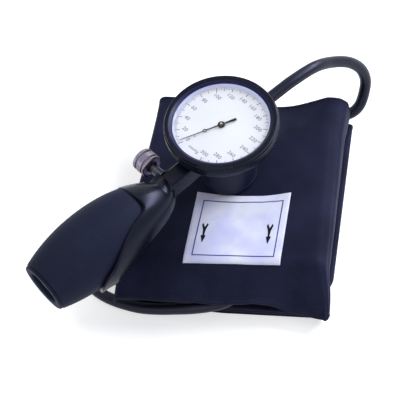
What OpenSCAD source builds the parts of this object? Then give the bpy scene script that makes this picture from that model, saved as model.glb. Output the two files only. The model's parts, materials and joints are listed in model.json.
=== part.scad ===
// Aneroid sphygmomanometer: a palm gauge with its squeeze bulb, lying on its folded arm cuff.
// The frame: X across the cuff's folds, Y along the width of its cloth towards the back, Z up.
// The origin is the centre of the folded cuff's underside, and the hand piece stands on the cuff.

/* [Cuff] */
// Width of the cuff's cloth between its bindings, front to back
cloth_w = 141; // [120:1:160]
// Left edge of the folded cuff, left of the origin
cuff_left = 62; // [55:1:70]
// Outside of the big right-hand fold, right of the origin
cuff_right = 59; // [55:1:66]
// Height of the folded cuff
cuff_h = 29.6; // [27:0.1:33]
// Thickness of one layer of cloth
cloth_t = 1.5; // [1:0.1:1.8]
// Thickness of the air bladder between the two plies
bladder_t = 6; // [4:0.5:7]
// Clear distance between the lower layers of cloth
layer_gap = 1.35; // [1.2:0.05:1.8]
// How far the top layer falls at the front right corner
corner_drop = 20.5; // [8:0.5:21]
// Depth of the hollow behind the gauge
back_dip = 8; // [0:0.5:8.5]
// Width of the tape that binds the front and back edges
binding_w = 2; // [1:0.5:4]
// Thickness of the hook and loop tapes
tape_t = 1; // [0.6:0.1:1.1]
// Width of the white label
label_w = 57.5; // [40:0.5:64]
// Depth of the white label, front to back
label_d = 50.5; // [30:0.5:56]
// Thickness of the label
label_t = 0.4; // [0.2:0.1:0.8]

/* [Gauge] */
// Middle of the gauge's foot, right of the origin
gauge_x = -7.4; // [-12:0.2:-2]
// Middle of the gauge's foot, behind the origin
gauge_y = 11.7; // [5:0.1:16]
// Direction of the hand piece, from its bulb to its hose, from +X towards +Y
gauge_turn = 50; // [40:0.5:58]
// How far the gauge leans on the soft cuff, towards the front right
gauge_lean = 3.5; // [0:0.5:5]
// Outside diameter of the bezel
bezel_d = 68; // [64:0.5:74]
// Height of the bezel
bezel_h = 6.5; // [6:0.1:8]
// Height of the gauge from its foot to the top of the bezel
gauge_h = 53; // [52:0.1:56]
// Outside diameter of the gauge's body below the dial
body_d = 35; // [34:0.5:38]
// Thickness of the window
lens_t = 1.2; // [0.8:0.1:1.6]
// Thickness of the dial plate
dial_t = 0.6; // [0.4:0.1:1]

/* [Movement] */
// Teeth of the pinion on the pointer's arbor
pinion_teeth = 10; // [8:1:12]
// Teeth that the sector would have all the way round
sector_teeth = 90; // [80:1:96]
// Module of the gear teeth
gear_module = 0.2; // [0.18:0.01:0.21]
// Sweep of the pointer from 0 to 300
pointer_sweep = 318.5; // [270:0.5:330]
// How far past its 0 mark the pointer rests, degrees
rest_past = 3; // [0:0.5:6]
// Length of the sector's tail
tail_len = 3.75; // [3.2:0.05:4]
// Diameter of the pressure capsule
capsule_d = 24; // [18:0.5:24.5]
// Turns of the hairspring
spring_turns = 5; // [3:1:6]

/* [Manifold] */
// Height of the air passage above the gauge's foot
axis_h = 35.5; // [34:0.1:36.5]
// Width and height of the neck block
neck_w = 13; // [12:0.5:14]
// Distance from the gauge axis to the neck block's bulb end
neck_end = 48.2; // [46:0.2:54]
// Bore of the air passage
air_d = 3; // [2:0.1:3.4]
// Distance from the gauge axis to the release valve
valve_at = 43; // [41:0.5:44]
// Diameter of the release valve's knob
knob_d = 14.5; // [12:0.5:18]
// Length of the release valve's knob
knob_len = 10; // [9:0.5:14]
// Ridges round the knob
knob_ridges = 36; // [20:1:48]
// Diameter of the release valve's needle
needle_d = 3; // [2.4:0.1:3.2]

/* [Bulb] */
// Length of the bulb along its axis
bulb_len = 91; // [84:1:100]
// Largest diameter of the bulb
bulb_d = 43.2; // [38:0.2:48]
// Diameter of the bulb's flat end
bulb_end_d = 30.4; // [27:0.2:34]
// Wall of the bulb
bulb_wall = 2.4; // [1.8:0.1:3]
// How far the bulb points down from level
bulb_slope = 0.5; // [0:0.5:5]
// Length of the spoon's collar round the bulb
collar_len = 18.3; // [14:0.1:24]
// Length of the spoon's tongue past its collar
tongue_len = 46; // [30:1:52]
// Wall of the spoon
spoon_wall = 1.6; // [1.2:0.1:2.2]

/* [Hose] */
// Outside diameter of the hose
hose_d = 7.3; // [6:0.1:8]
// Bore of the hose
hose_bore = 4.6; // [3.6:0.1:5]

/* [Hidden] */
$fn = 96;
eps = 0.01;

// Clearances that are used in more than one place
run_gap = 0.04;
touch_gap = 0.15;
ply_gap = 0.05;
soft_gap = 0.35;
seat_gap = 0.1;

// Soft steps and bumps, which shape the cloth
function soft_step(a, b, v) = let (t = max(0, min(1, (v - a) / (b - a)))) t * t * (3 - 2 * t);
function bump(at, width, v) = exp(-pow((v - at) / width, 2));
function steps(a, b, n) = [for (i = [0 : n]) a + (b - a) * i / n];

// The folded cuff
edge_y = cloth_w / 2;
lower_z = cloth_t / 2;
layer_pitch = cloth_t + layer_gap;
pocket_t = 2 * cloth_t + bladder_t;
corner_squash = 0.45;
ridge_rise = 4;
fold_square = 0.72;
right_splay = 0.02;
right_bulge = 1.5;
second_fold_out = 2;
lower_shift = 1.2;
lower_skew = 0.06;
skew_from_x = -5;
lean_axis = [cos(18), sin(18), 0];
foot_flat_r = 20;
function foot_slope(x, y) = tan(gauge_lean) * ((y - gauge_y) * lean_axis[0] - (x - gauge_x) * lean_axis[1])
    * (1 - soft_step(foot_flat_r, foot_flat_r + 26, norm([x - gauge_x, y - gauge_y])));
function corner(x, y) = soft_step(-20, cuff_right + 2, x) * soft_step(-edge_y + 26, -edge_y - 3, y);
function top_z(x, y) = cuff_h - corner_drop * corner(x, y) + foot_slope(x, y)
    - back_dip * bump(14, 27, x) * soft_step(38, edge_y, y)
    + ridge_rise * bump(cuff_right - 2, 12, x) * soft_step(10, edge_y, y);
function layer_z(k, x, y) = lower_z + k * layer_pitch * (1 - corner_squash * corner(x, y));
function arc_x(x0, r, n, side, p = 1) = [for (i = [1 : n - 1]) x0 + side * r * pow(sin(180 * i / n), p)];
function arc_z(z0, r, n, p = 1) = [for (i = [1 : n - 1]) let (c = cos(180 * i / n))
    z0 + r * sign(c) * pow(abs(c), p)];
function zip(xs, zs) = [for (i = [0 : len(xs) - 1]) [xs[i], zs[i]]];

// The cloth's line through the fold at one place along its width: top layer, right fold, second layer,
// left fold, third layer, right fold and bottom layer
function right_x(y) = cuff_right + right_splay * y + right_bulge * soft_step(45, edge_y, y);
function top_right_r(y) = (top_z(right_x(y) - 9, y) - cloth_t / 2 - layer_z(2, right_x(y) - 9, y)) / 2;
function cloth_line(y) = let (
    edge_r = pocket_t / 2 - cloth_t / 2,
    big_r = top_right_r(y),
    big_x = right_x(y) - cloth_t / 2 - big_r,
    big_z = layer_z(2, big_x, y) + big_r,
    low_x = cuff_right + second_fold_out + 1.6 * right_splay * y - cloth_t / 2 - layer_pitch / 2,
    left_x = -cuff_left + 6,
    top_xs = steps(-cuff_left + cloth_t / 2 + edge_r, big_x, 13),
    edge_top = top_z(top_xs[0], y) - cloth_t / 2,
    z2_right = layer_z(2, big_x, y),
    small_r = layer_pitch / 2
  ) concat(
    [for (a = [0, 30, 60]) [top_xs[0] - edge_r * cos(a), edge_top - edge_r + edge_r * sin(a)]],
    [for (i = [0 : 13]) let (w = i / 13, z = top_z(top_xs[i], y) - cloth_t / 2,
        z_end = big_z + big_r) [top_xs[i], z * (1 - pow(w, 16)) + z_end * pow(w, 16)]],
    zip(arc_x(big_x, big_r, 8, 1, fold_square), arc_z(big_z, big_r, 8, fold_square)),
    [for (x = steps(big_x, left_x, 4)) [x, layer_z(2, x, y)]],
    zip(arc_x(left_x, small_r, 4, -1), arc_z(layer_z(1.5, left_x, y), small_r, 4)),
    [for (x = steps(left_x, low_x, 4)) [x, layer_z(1, x, y)]],
    [for (i = [1 : 3]) [low_x + small_r * sin(45 * i),
        lower_z + (layer_z(1, low_x, y) - lower_z) * (1 + cos(45 * i)) / 2]],
    [for (x = steps(low_x, left_x + 8, 3)) [x, lower_z]]
  );
top_points = 17;

// The lower layers lie a little further back than the top one
function shifted(x, i) = (lower_shift + lower_skew * max(0, skew_from_x - x))
    * soft_step(top_points, top_points + 7, i);

// A ribbon of cloth: a line for each place along Y, thickened to both sides
function unit2(v) = v / norm(v);
function ribbon_side(line, i) = let (n = len(line) - 1,
    d = unit2(line[min(i + 1, n)] - line[max(i - 1, 0)])) [-d[1], d[0]];
function ribbon_points(lines, ys, t) = [for (j = [0 : len(ys) - 1]) for (i = [0 : len(lines[j]) - 1])
    for (s = [0.5, -0.5]) let (p = lines[j][i] + s * t * ribbon_side(lines[j], i))
    [p[0], ys[j] + shifted(p[0], i), max(0, p[1])]];
module ribbon(ys, t) {
  lines = [for (y = ys) cloth_line(y)];
  n = len(lines[0]);
  m = len(ys);
  function at(j, i, s) = (j * n + i) * 2 + 1 - s;
  quads = concat(
    [for (j = [0 : m - 2]) for (i = [0 : n - 2])
      [at(j, i, 0), at(j, i + 1, 0), at(j + 1, i + 1, 0), at(j + 1, i, 0)]],
    [for (j = [0 : m - 2]) for (i = [0 : n - 2])
      [at(j, i, 1), at(j + 1, i, 1), at(j + 1, i + 1, 1), at(j, i + 1, 1)]],
    [for (i = [0 : n - 2]) [at(0, i, 0), at(0, i, 1), at(0, i + 1, 1), at(0, i + 1, 0)]],
    [for (i = [0 : n - 2]) [at(m - 1, i, 0), at(m - 1, i + 1, 0), at(m - 1, i + 1, 1), at(m - 1, i, 1)]],
    [for (j = [0 : m - 2]) [at(j, 0, 0), at(j + 1, 0, 0), at(j + 1, 0, 1), at(j, 0, 1)]],
    [for (j = [0 : m - 2]) [at(j, n - 1, 0), at(j, n - 1, 1), at(j + 1, n - 1, 1), at(j + 1, n - 1, 0)]]
  );
  polyhedron(ribbon_points(lines, ys, t), split(quads), convexity = 12);
}
function split(quads) = [for (q = quads) for (k = [0, 1]) k == 0 ? [q[0], q[1], q[2]] : [q[0], q[2], q[3]]];

// A slab between two surfaces over a grid of X and Y
module slab(xs, ys, upper, lower, shear = [0, 0]) {
  n = len(xs);
  m = len(ys);
  function at(j, i, s) = (j * n + i) * 2 + s;
  points = [for (v = ys) for (w = xs) for (s = [0, 1]) let (x = w + shear[0] * v, y = v + shear[1] * w)
      [x, y, s == 0 ? upper(x, y) : lower(x, y)]];
  quads = concat(
    [for (j = [0 : m - 2]) for (i = [0 : n - 2])
      [at(j, i, 0), at(j + 1, i, 0), at(j + 1, i + 1, 0), at(j, i + 1, 0)]],
    [for (j = [0 : m - 2]) for (i = [0 : n - 2])
      [at(j, i, 1), at(j, i + 1, 1), at(j + 1, i + 1, 1), at(j + 1, i, 1)]],
    [for (i = [0 : n - 2]) [at(0, i, 0), at(0, i + 1, 0), at(0, i + 1, 1), at(0, i, 1)]],
    [for (i = [0 : n - 2]) [at(m - 1, i, 0), at(m - 1, i, 1), at(m - 1, i + 1, 1), at(m - 1, i + 1, 0)]],
    [for (j = [0 : m - 2]) [at(j, 0, 0), at(j, 0, 1), at(j + 1, 0, 1), at(j + 1, 0, 0)]],
    [for (j = [0 : m - 2]) [at(j, n - 1, 0), at(j + 1, n - 1, 0), at(j + 1, n - 1, 1), at(j, n - 1, 1)]]
  );
  polyhedron(points, split(quads), convexity = 6);
}

// Rows of points along the width, closer where the cloth bends
cloth_ys = concat(steps(-edge_y, -edge_y + 27, 5), steps(-edge_y + 40, edge_y - 28, 4),
    steps(edge_y - 19, edge_y, 2));

// The pocket between the top layer and its lining holds the bladder
pocket_left = -cuff_left + pocket_t / 2;
pocket_right = cuff_right - 25;
pocket_edge = 22;
function puff(x, y) = soft_step(pocket_left - 4, pocket_left + 8, x)
  * soft_step(pocket_right + 4, pocket_right - 10, x)
    * soft_step(edge_y, edge_y - pocket_edge, y) * soft_step(-edge_y, -edge_y + pocket_edge, y)
    * (1 - 0.75 * corner(x, y));
under_gap = 0.5;
function cloth_under(x, y) = top_z(x, y) - cloth_t - under_gap;
function lining_top(x, y) = cloth_under(x, y) - bladder_t * puff(x, y);
port_x = -cuff_left + 14;
port_y = -32;
port_z = 14.5;
port_d = 6;

module cuff_cloth() color("#14161f") ribbon(cloth_ys, cloth_t);
pocket_xs = steps(pocket_left + 2, pocket_right, 11);
function inner_of(v) = [for (i = [1 : len(v) - 2]) v[i]];
module cuff_lining() color("#10121a") difference() {
  slab(pocket_xs, cloth_ys,
      function (x, y) lining_top(x, y), function (x, y) lining_top(x, y) - cloth_t);
  translate([port_x, port_y, 0]) cylinder(d = port_d + 2 * seat_gap, h = cuff_h);
}
module bladder() color("#2b2b2e")
  slab(inner_of(pocket_xs), inner_of(cloth_ys),
      function (x, y) cloth_under(x, y),
      function (x, y) min(lining_top(x, y) + ply_gap, cloth_under(x, y) - 0.4));
module cuff_binding() color("#0f1118") for (side = [-1, 1])
  ribbon(side < 0 ? [-edge_y - binding_w, -edge_y - eps] : [edge_y + eps, edge_y + binding_w],
      cloth_t + 0.5);
tape_w = 45;
module tape(x, k) let (z = layer_z(k, x, 0) + cloth_t / 2 + (layer_gap - tape_t) / 2)
  translate([x, -edge_y + 20, z]) cube([tape_w, cloth_w - 30, tape_t]);
module hook_tape() color("#1c1e28") tape(-cuff_left + 16, 0);
module loop_tape() color("#1a1c26") tape(-cuff_left + 22, 1);
label_left = -25.4;
label_back = -4;
label_shear = [0.035, 0.025];
module cuff_label() color("#e9e8f2")
  slab(steps(label_left, label_left + label_w, 8), steps(label_back - label_d, label_back, 7),
      function (x, y) top_z(x, y) + soft_gap + label_t, function (x, y) top_z(x, y) + soft_gap,
      shear = label_shear);

// The bladder's port turns from its flange to a tail that the hose goes over
port_flange_z = cuff_h - pocket_t - under_gap;
port_flange_t = 1;
port_tail_d = hose_bore;
module cuff_port() color("#18181a") difference() {
  union() {
    translate([port_x, port_y, port_flange_z - port_flange_t - 2 * ply_gap])
      cylinder(d = 16, h = port_flange_t);
    translate([port_x, port_y, port_z - port_d / 2])
      cylinder(d = port_d, h = port_flange_z + cloth_t - port_z + port_d / 2 - ply_gap);
    translate([-cuff_left + 1, port_y, port_z]) rotate([0, 90, 0]) cylinder(d = port_d, h = 13);
    translate([-cuff_left - 9, port_y, port_z]) rotate([0, 90, 0]) cylinder(d = port_tail_d, h = 12);
  }
  translate([-cuff_left - 10, port_y, port_z]) rotate([0, 90, 0]) cylinder(d = air_d, h = 24);
  translate([port_x, port_y, port_z]) cylinder(d = air_d, h = 20);
}

// The hand piece has its own frame: its foot stands on the cuff, X points to the hose
base_z = cuff_h + soft_gap + label_t + seat_gap;
axis_z = base_z + axis_h;
top = base_z + gauge_h;
module on_gauge() translate([gauge_x, gauge_y, base_z]) rotate(a = gauge_lean, v = lean_axis)
  rotate([0, 0, gauge_turn]) translate([0, 0, -base_z]) children();
function turned(v, axis, a) = v * cos(a) + cross(axis, v) * sin(a) + axis * (axis * v) * (1 - cos(a));
function from_gauge(p) = [gauge_x, gauge_y, base_z]
    + turned(turned([p[0], p[1], p[2] - base_z], [0, 0, 1], gauge_turn), lean_axis, gauge_lean);
module along_x(x, z, y = 0) translate([x, y, z]) rotate([0, 90, 0]) children();
module along_y(y, x, z) translate([x, y, z]) rotate([-90, 0, 0]) children();

// Levels inside the gauge
cap_t = 4;
web_z = base_z + cap_t + 1.6;
web_t = 4.4;
web_top = web_z + web_t;
passage_z = web_z + web_t / 2;
capsule_z = web_top + 1.4;
capsule_h = 3.2;
plate_t = 1.2;
plate_low_z = web_top + 11.9;
plate_high_z = plate_low_z + 10;
rocker_z = plate_low_z - 3.5;
flange_t = 1.6;
body_top = top - 9.1;
case_floor_t = 1.2;
dial_z = top - 5;
bezel_lip_t = 1.2;
gasket_t = 0.6;
lens_z = top - bezel_lip_t - lens_t;

// Radii inside the gauge
body_r = body_d / 2;
body_wall = 4;
bore_r = body_r - body_wall;
capsule_bore_r = bore_r - 0.9;
riser_r = bore_r + body_wall / 2;
riser_d = 1.8;
plate_r = bore_r - 0.05;
bezel_r = bezel_d / 2;
case_r = bezel_r - 1;
case_wall = 1.5;
dial_r = case_r - case_wall - 0.3;
window_r = bezel_r - 5;
boss_len = 2.5;
neck_face = body_r + boss_len;
spigot_d = 6;
spigot_in = 3.3;
nipple_z = axis_z + 2;
screw_d = 1.6;
case_screw_r = 18.6;
hub_d = 5.2;

module gauge_body() color("#1d1d24") on_gauge() difference() {
  union() {
    translate([0, 0, base_z]) cylinder(d = body_d, h = body_top - base_z);
    translate([0, 0, body_top - flange_t]) cylinder(r = case_screw_r + 2.4, h = flange_t);
    translate([-neck_face, -neck_w / 2, axis_z - neck_w / 2]) cube([neck_face, neck_w, neck_w]);
    along_x(0, nipple_z) cylinder(d = 9, h = body_r + 1.5);
  }
  translate([0, 0, web_top]) cylinder(r = capsule_bore_r, h = body_top);
  translate([0, 0, plate_low_z]) cylinder(r = bore_r, h = body_top);
  translate([0, 0, base_z - eps]) cylinder(r = body_r - 2.5, h = cap_t + eps);
  translate([0, 0, base_z]) cylinder(r = body_r - 4, h = web_z - base_z);
  along_x(-neck_face - eps, axis_z) cylinder(d = air_d, h = neck_face - riser_r + riser_d / 2);
  along_x(-neck_face - eps, axis_z) cylinder(d = spigot_d, h = spigot_in);
  along_x(riser_r - riser_d / 2, nipple_z) cylinder(d = air_d, h = body_r);
  along_x(body_r - 1.5, nipple_z) cylinder(d = nipple_thread_d, h = 4);
  for (side = [-1, 1]) translate([side * riser_r, 0, passage_z])
    cylinder(d = riser_d, h = (side < 0 ? axis_z : nipple_z) - passage_z);
  along_x(-riser_r - riser_d / 2, passage_z) cylinder(d = riser_d, h = 2 * riser_r + riser_d);
  translate([0, 0, passage_z]) cylinder(d = stud_d, h = web_t);
  for (a = [60, 180, 300]) rotate(a) translate([case_screw_r, 0, body_top - flange_t - eps])
    cylinder(d = screw_d, h = flange_t + 2 * eps);
}
module body_cap() color("#26262e") on_gauge() difference() {
  translate([0, 0, base_z]) cylinder(r = body_r - 2.5, h = cap_t);
  for (side = [-1, 1]) translate([side * 8, 0, base_z - eps]) cylinder(d = 3, h = 2);
}

// The dial's case is a shallow dish on the body's flange
case_top = lens_z - gasket_t;
ledge_w = 2.2;
module gauge_case() color("#15151c") on_gauge() difference() {
  translate([0, 0, body_top]) cylinder(r = case_r, h = case_top - body_top);
  translate([0, 0, dial_z - dial_t]) cylinder(r = case_r - case_wall, h = 20);
  translate([0, 0, body_top + case_floor_t]) cylinder(r = case_r - case_wall - ledge_w, h = 20);
  translate([0, 0, body_top - eps]) cylinder(d = 4, h = 5);
  for (a = [60, 180, 300]) rotate(a) translate([case_screw_r, 0, body_top - eps])
    cylinder(d = screw_d, h = case_floor_t + 2 * eps);
  for (a = dial_screw_angles) rotate(a) translate([dial_r - 0.9, 0, dial_z - dial_t - dial_pin_in])
    cylinder(d = dial_pin_d, h = 2);
}
module screw(z, length, head_d, head_h) {
  translate([0, 0, z - length]) cylinder(d = screw_d, h = length + eps);
  difference() {
    translate([0, 0, z]) cylinder(d = head_d, h = head_h);
    translate([-head_d, -0.2, z + head_h / 2]) cube([2 * head_d, 0.4, head_h]);
  }
}
module case_screws() color("#8d8d95") on_gauge() for (a = [60, 180, 300]) rotate(a)
  translate([case_screw_r, 0, 0]) screw(body_top + case_floor_t, flange_t + case_floor_t - 0.2, 3, 0.9);
module bezel() color("#101017") on_gauge() rotate_extrude() polygon(concat(
    [[case_r + run_gap, top - bezel_h], [bezel_r, top - bezel_h]],
    [for (a = [0 : 15 : 90]) [bezel_r - 2.4 + 2.4 * cos(a), top - 2.4 + 2.4 * sin(a)]],
    [[window_r + 0.8, top], [window_r, top - bezel_lip_t + 0.2], [window_r, top - bezel_lip_t],
     [case_r + run_gap, top - bezel_lip_t]]));
module lens() color("#dfe6f0", 0.3) on_gauge() translate([0, 0, lens_z]) cylinder(r = case_r, h = lens_t);
module lens_gasket() color("#2a2a2c") on_gauge() translate([0, 0, case_top]) difference() {
  cylinder(r = case_r, h = gasket_t);
  translate([0, 0, -eps]) cylinder(r = case_r - case_wall, h = 1);
}
module dial_plate() color("#f6f6fb") on_gauge() difference() {
  translate([0, 0, dial_z - dial_t]) cylinder(r = dial_r, h = dial_t);
  translate([0, 0, dial_z - 1]) cylinder(d = 3, h = 2);
  for (a = dial_screw_angles) rotate(a) translate([dial_r - 0.9, 0, dial_z - 1])
    cylinder(d = dial_pin_d, h = 2);
  rotate(stop_angle) translate([stop_r, 0, dial_z - 1]) cylinder(d = stop_d, h = 2);
}
dial_screw_angles = [90, 270];
dial_pin_d = 0.8;
zero_angle = 180 - (360 - pointer_sweep + rest_past) / 2;
stop_angle = zero_angle + 3.2;
stop_r = 17;
stop_d = 0.7;
dial_pin_in = 1;
module dial_screws() color("#8d8d95") on_gauge() for (a = dial_screw_angles) rotate(a)
  translate([dial_r - 0.9, 0, dial_z - dial_t - dial_pin_in]) {
    cylinder(d = dial_pin_d, h = dial_t + dial_pin_in);
    translate([0, 0, dial_t + dial_pin_in]) cylinder(d = 1.4, h = 0.3);
  }
module zero_stop() color("#3a3a40") on_gauge() rotate(stop_angle)
  translate([stop_r, 0, dial_z - dial_t]) cylinder(d = stop_d, h = dial_t + 1.5);

// The pointer rests at 0 and turns clockwise over the dial
pointer_z = dial_z + 0.9;
pointer_len = 26;
tail_back = 9;
pointer_t = 0.4;
arbor_d = 1;
module pointer() color("#0c0c10") on_gauge() rotate(zero_angle) difference() {
  union() {
    translate([0, 0, pointer_z]) linear_extrude(pointer_t) {
      polygon([[0, -0.55], [10, -0.55], [pointer_len, -0.12], [pointer_len, 0.12], [10, 0.55], [0, 0.55]]);
      polygon([[0, -0.6], [0, 0.6], [-tail_back, 1.1], [-tail_back, -1.1]]);
      translate([10, 0]) circle(d = 2.2);
    }
    translate([0, 0, pointer_z - 0.5]) cylinder(d = hub_d, h = 1.7);
  }
  translate([0, 0, pointer_z - 1]) cylinder(d = arbor_d + 2 * eps, h = 3);
}

// Gear teeth: straight flanks, a little slimmer than half the pitch
tooth_share = 0.36;
tooth_add = 0.75;
tooth_ded = 1.15;
function pitch_r(teeth) = teeth * gear_module / 2;
function tooth(r, teeth, k) = let (step = 360 / teeth, root = r - tooth_ded * gear_module,
    tip = r + tooth_add * gear_module, w = step * tooth_share / 2)
    [[root, k * step - w * 1.5], [tip, k * step - w * 0.6], [tip, k * step + w * 0.6],
     [root, k * step + w * 1.5]];
function polar(p) = [p[0] * cos(p[1]), p[0] * sin(p[1])];
pinion_r = pitch_r(pinion_teeth);
sector_r = pitch_r(sector_teeth);
gear_ratio = sector_teeth / pinion_teeth;
sector_swing = pointer_sweep / gear_ratio;
sector_turn = 45.6;
sector_at = (pinion_r + sector_r) * [cos(sector_turn), sin(sector_turn)];
gear_z = plate_low_z + plate_t + 4.3;
gear_t = 0.8;
module pointer_arbor() color("#b9a66a") on_gauge() {
  translate([0, 0, plate_low_z + 0.2])
    cylinder(d = arbor_d, h = pointer_z + pointer_t + 1.1 - plate_low_z - 0.2);
  translate([0, 0, gear_z - 0.8]) rotate(sector_turn + 180 / pinion_teeth) linear_extrude(gear_t + 1.6)
    polygon([for (k = [0 : pinion_teeth - 1]) for (p = tooth(pinion_r, pinion_teeth, k)) polar(p)]);
  translate([0, 0, spring_z - 0.2]) cylinder(d = 2 * spring_in - 2 * eps, h = spring_h + 0.4);
}
spring_z = plate_high_z + plate_t + 1;
spring_h = 0.6;
spring_t = 0.15;
spring_in = 1.1;
spring_pitch = 0.95;
function coil(i, off) = let (a = i * 30, r = spring_in + spring_t / 2 + spring_pitch * a / 360 + off)
    [r * cos(a), r * sin(a)];
coil_steps = 12 * spring_turns;
stud_pin_d = 0.8;
stud_at = spring_in + spring_t / 2 + spring_pitch * spring_turns + spring_t / 2 + stud_pin_d / 2;
module hairspring() color("#5d6f86") on_gauge() translate([0, 0, spring_z]) linear_extrude(spring_h)
  polygon(concat([for (i = [0 : coil_steps]) coil(i, spring_t / 2)],
      [for (i = [coil_steps : -1 : 0]) coil(i, -spring_t / 2)]));
module spring_stud() color("#b9a66a") on_gauge()
  translate([stud_at, 0, plate_high_z + plate_t]) cylinder(d = stud_pin_d, h = 2.4);

// The movement stands on a ledge in the body
pillar_angles = [200, 318, 98];
pillar_at = bore_r - 2.3;
pillar_d = 2.4;
slot_w = 3.6;
lug_ys = [-3.2, 6.6];
lug_t = 1.2;
module plate(z) difference() {
  translate([0, 0, z]) cylinder(r = plate_r, h = plate_t);
  translate([0, 0, z - eps]) cylinder(d = arbor_d + 2 * run_gap, h = plate_t + 1);
  translate([sector_at[0], sector_at[1], z - eps]) cylinder(d = arbor_d + 2 * run_gap, h = plate_t + 1);
  for (a = pillar_angles) rotate(a) translate([pillar_at, 0, z - eps]) cylinder(d = screw_d, h = plate_t + 1);
}
module lower_plate() color("#c0ad74") on_gauge() difference() {
  union() {
    plate(plate_low_z);
    for (y = lug_ys) translate([rocker_x - 1.2, y, rocker_z - 1.1])
      cube([2.4, lug_t, plate_low_z - rocker_z + 1.2]);
  }
  along_y(lug_ys[0] - 1, rocker_x, rocker_z) cylinder(d = rocker_d + 2 * run_gap, h = 14);
  translate([rocker_x - 0.9, tail_pin[1] - slot_w / 2, plate_low_z - 1]) cube([3.6, slot_w, plate_t + 2]);
}
module upper_plate() color("#c0ad74") on_gauge() plate(plate_high_z);
module plate_pillars() color("#b9a66a") on_gauge() for (a = pillar_angles) rotate(a)
  translate([pillar_at, 0, plate_low_z + plate_t]) difference() {
    cylinder(d = pillar_d, h = plate_high_z - plate_low_z - plate_t);
    translate([0, 0, -eps]) cylinder(d = screw_d, h = 20);
  }
module plate_screws() color("#8d8d95") on_gauge() for (a = pillar_angles) rotate(a)
  translate([pillar_at, 0, 0])
    screw(plate_high_z + plate_t, plate_high_z - plate_low_z + plate_t - 0.1, 2.6, 0.7);

// The sector gear turns the pinion, and its tail is pushed by the rocker
rest_turn = -sector_swing / 2;
tail_pin_d = 0.6;
tail_pin = sector_at + tail_len * [sin(rest_turn), -cos(rest_turn)];
sector_span = ceil((sector_swing / 2 + 9) / (360 / sector_teeth));
module sector_gear() color("#b9a66a") on_gauge() translate([sector_at[0], sector_at[1], 0]) {
  translate([0, 0, plate_low_z + 0.2])
    cylinder(d = arbor_d, h = plate_high_z + plate_t - plate_low_z - 0.4);
  translate([0, 0, gear_z]) linear_extrude(gear_t) difference() {
    union() {
      rotate(sector_turn + 180 + rest_turn) polygon(concat([[-1, 0]],
          [for (k = [-sector_span : sector_span])
            for (p = tooth(sector_r, sector_teeth, k + mesh_shift)) polar(p)]));
      circle(d = 2.6);
      rotate(rest_turn) translate([-0.5, -tail_len - 0.5]) square([1, tail_len + 0.5]);
    }
    rotate(sector_turn + 180 + rest_turn) for (s = [-1, 1]) polygon([polar([3, s * 4]),
        polar([6.6, s * 2.6]), polar([6.6, s * (sector_swing / 2)]), polar([3.4, s * (sector_swing / 2)])]);
  }
  translate([tail_pin[0] - sector_at[0], tail_pin[1] - sector_at[1], gear_z - 1.9])
    cylinder(d = tail_pin_d, h = 2);
}
// At rest the sector is turned back by half its swing, so its teeth are set on by the part of a pitch
// that puts a tooth on the line between the two arbors
mesh_shift = let (pitches = -rest_turn / (360 / sector_teeth)) pitches - floor(pitches);

// The rocker lifts with the capsule and leans its blade on the sector's tail
rocker_d = 1;
blade_t = 0.8;
rocker_x = tail_pin[0] - tail_pin_d / 2 - touch_gap - blade_t / 2;
blade_h = gear_z - 0.4 - rocker_z;
post_tip_d = 1.2;
rocker_lean = asin(2 * tail_len * sin(sector_swing / 2) / blade_h);
capsule_stroke = (rocker_x - post_tip_d / 2) * sin(rocker_lean);
module rocker() color("#9d9da5") on_gauge() {
  along_y(lug_ys[0] - 0.3, rocker_x, rocker_z)
    cylinder(d = rocker_d, h = lug_ys[1] + lug_t - lug_ys[0] + 0.6);
  translate([-0.8, -0.7, rocker_z - 0.4]) cube([rocker_x + 0.8, 1.4, 0.8]);
  translate([rocker_x - blade_t / 2, tail_pin[1] - 1, rocker_z]) cube([blade_t, 2, blade_h]);
}

// The pressure capsule: two rippled discs, soldered at the rim, on a hollow stud
capsule_r = capsule_d / 2;
disc_t = 0.3;
ripple = 0.35;
stud_d = 3;
function ripple_z(r) = ripple * cos(360 * r / 3.2);
disc_rs = steps(stud_d / 2, capsule_r - 1.2, 24);
capsule_mid = capsule_z + capsule_h / 2;
module capsule_disc(side) rotate_extrude() polygon(concat(
    [for (r = disc_rs) [r, capsule_mid + side * (capsule_h / 2 - ripple - disc_t + ripple_z(r))]],
    [[capsule_r - 0.4, capsule_mid], [capsule_r, capsule_mid], [capsule_r, capsule_mid + side * disc_t]],
    [for (i = [len(disc_rs) - 1 : -1 : 0]) let (r = disc_rs[i])
      [r, capsule_mid + side * (capsule_h / 2 - ripple + ripple_z(r))]]));
module capsule_lower() color("#c9b787") on_gauge() capsule_disc(-1);
module capsule_upper() color("#c9b787") on_gauge() capsule_disc(1);
module capsule_post() color("#b9a66a") on_gauge() {
  translate([0, 0, capsule_z + capsule_h - 1.2]) cylinder(d = stud_d, h = 1.8);
  translate([0, 0, capsule_z + capsule_h])
    cylinder(d = post_tip_d, h = rocker_z - 0.4 - touch_gap - capsule_z - capsule_h);
}
module capsule_stud() color("#b9a66a") on_gauge() difference() {
  union() {
    translate([0, 0, passage_z + riser_d / 2 + 0.1])
      cylinder(d = stud_d, h = capsule_z + 0.9 - passage_z - riser_d / 2);
    translate([0, 0, web_top]) cylinder(d = 7, h = capsule_z - web_top, $fn = 6);
  }
  translate([0, 0, passage_z]) cylinder(d = 1.2, h = 10);
}

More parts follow.
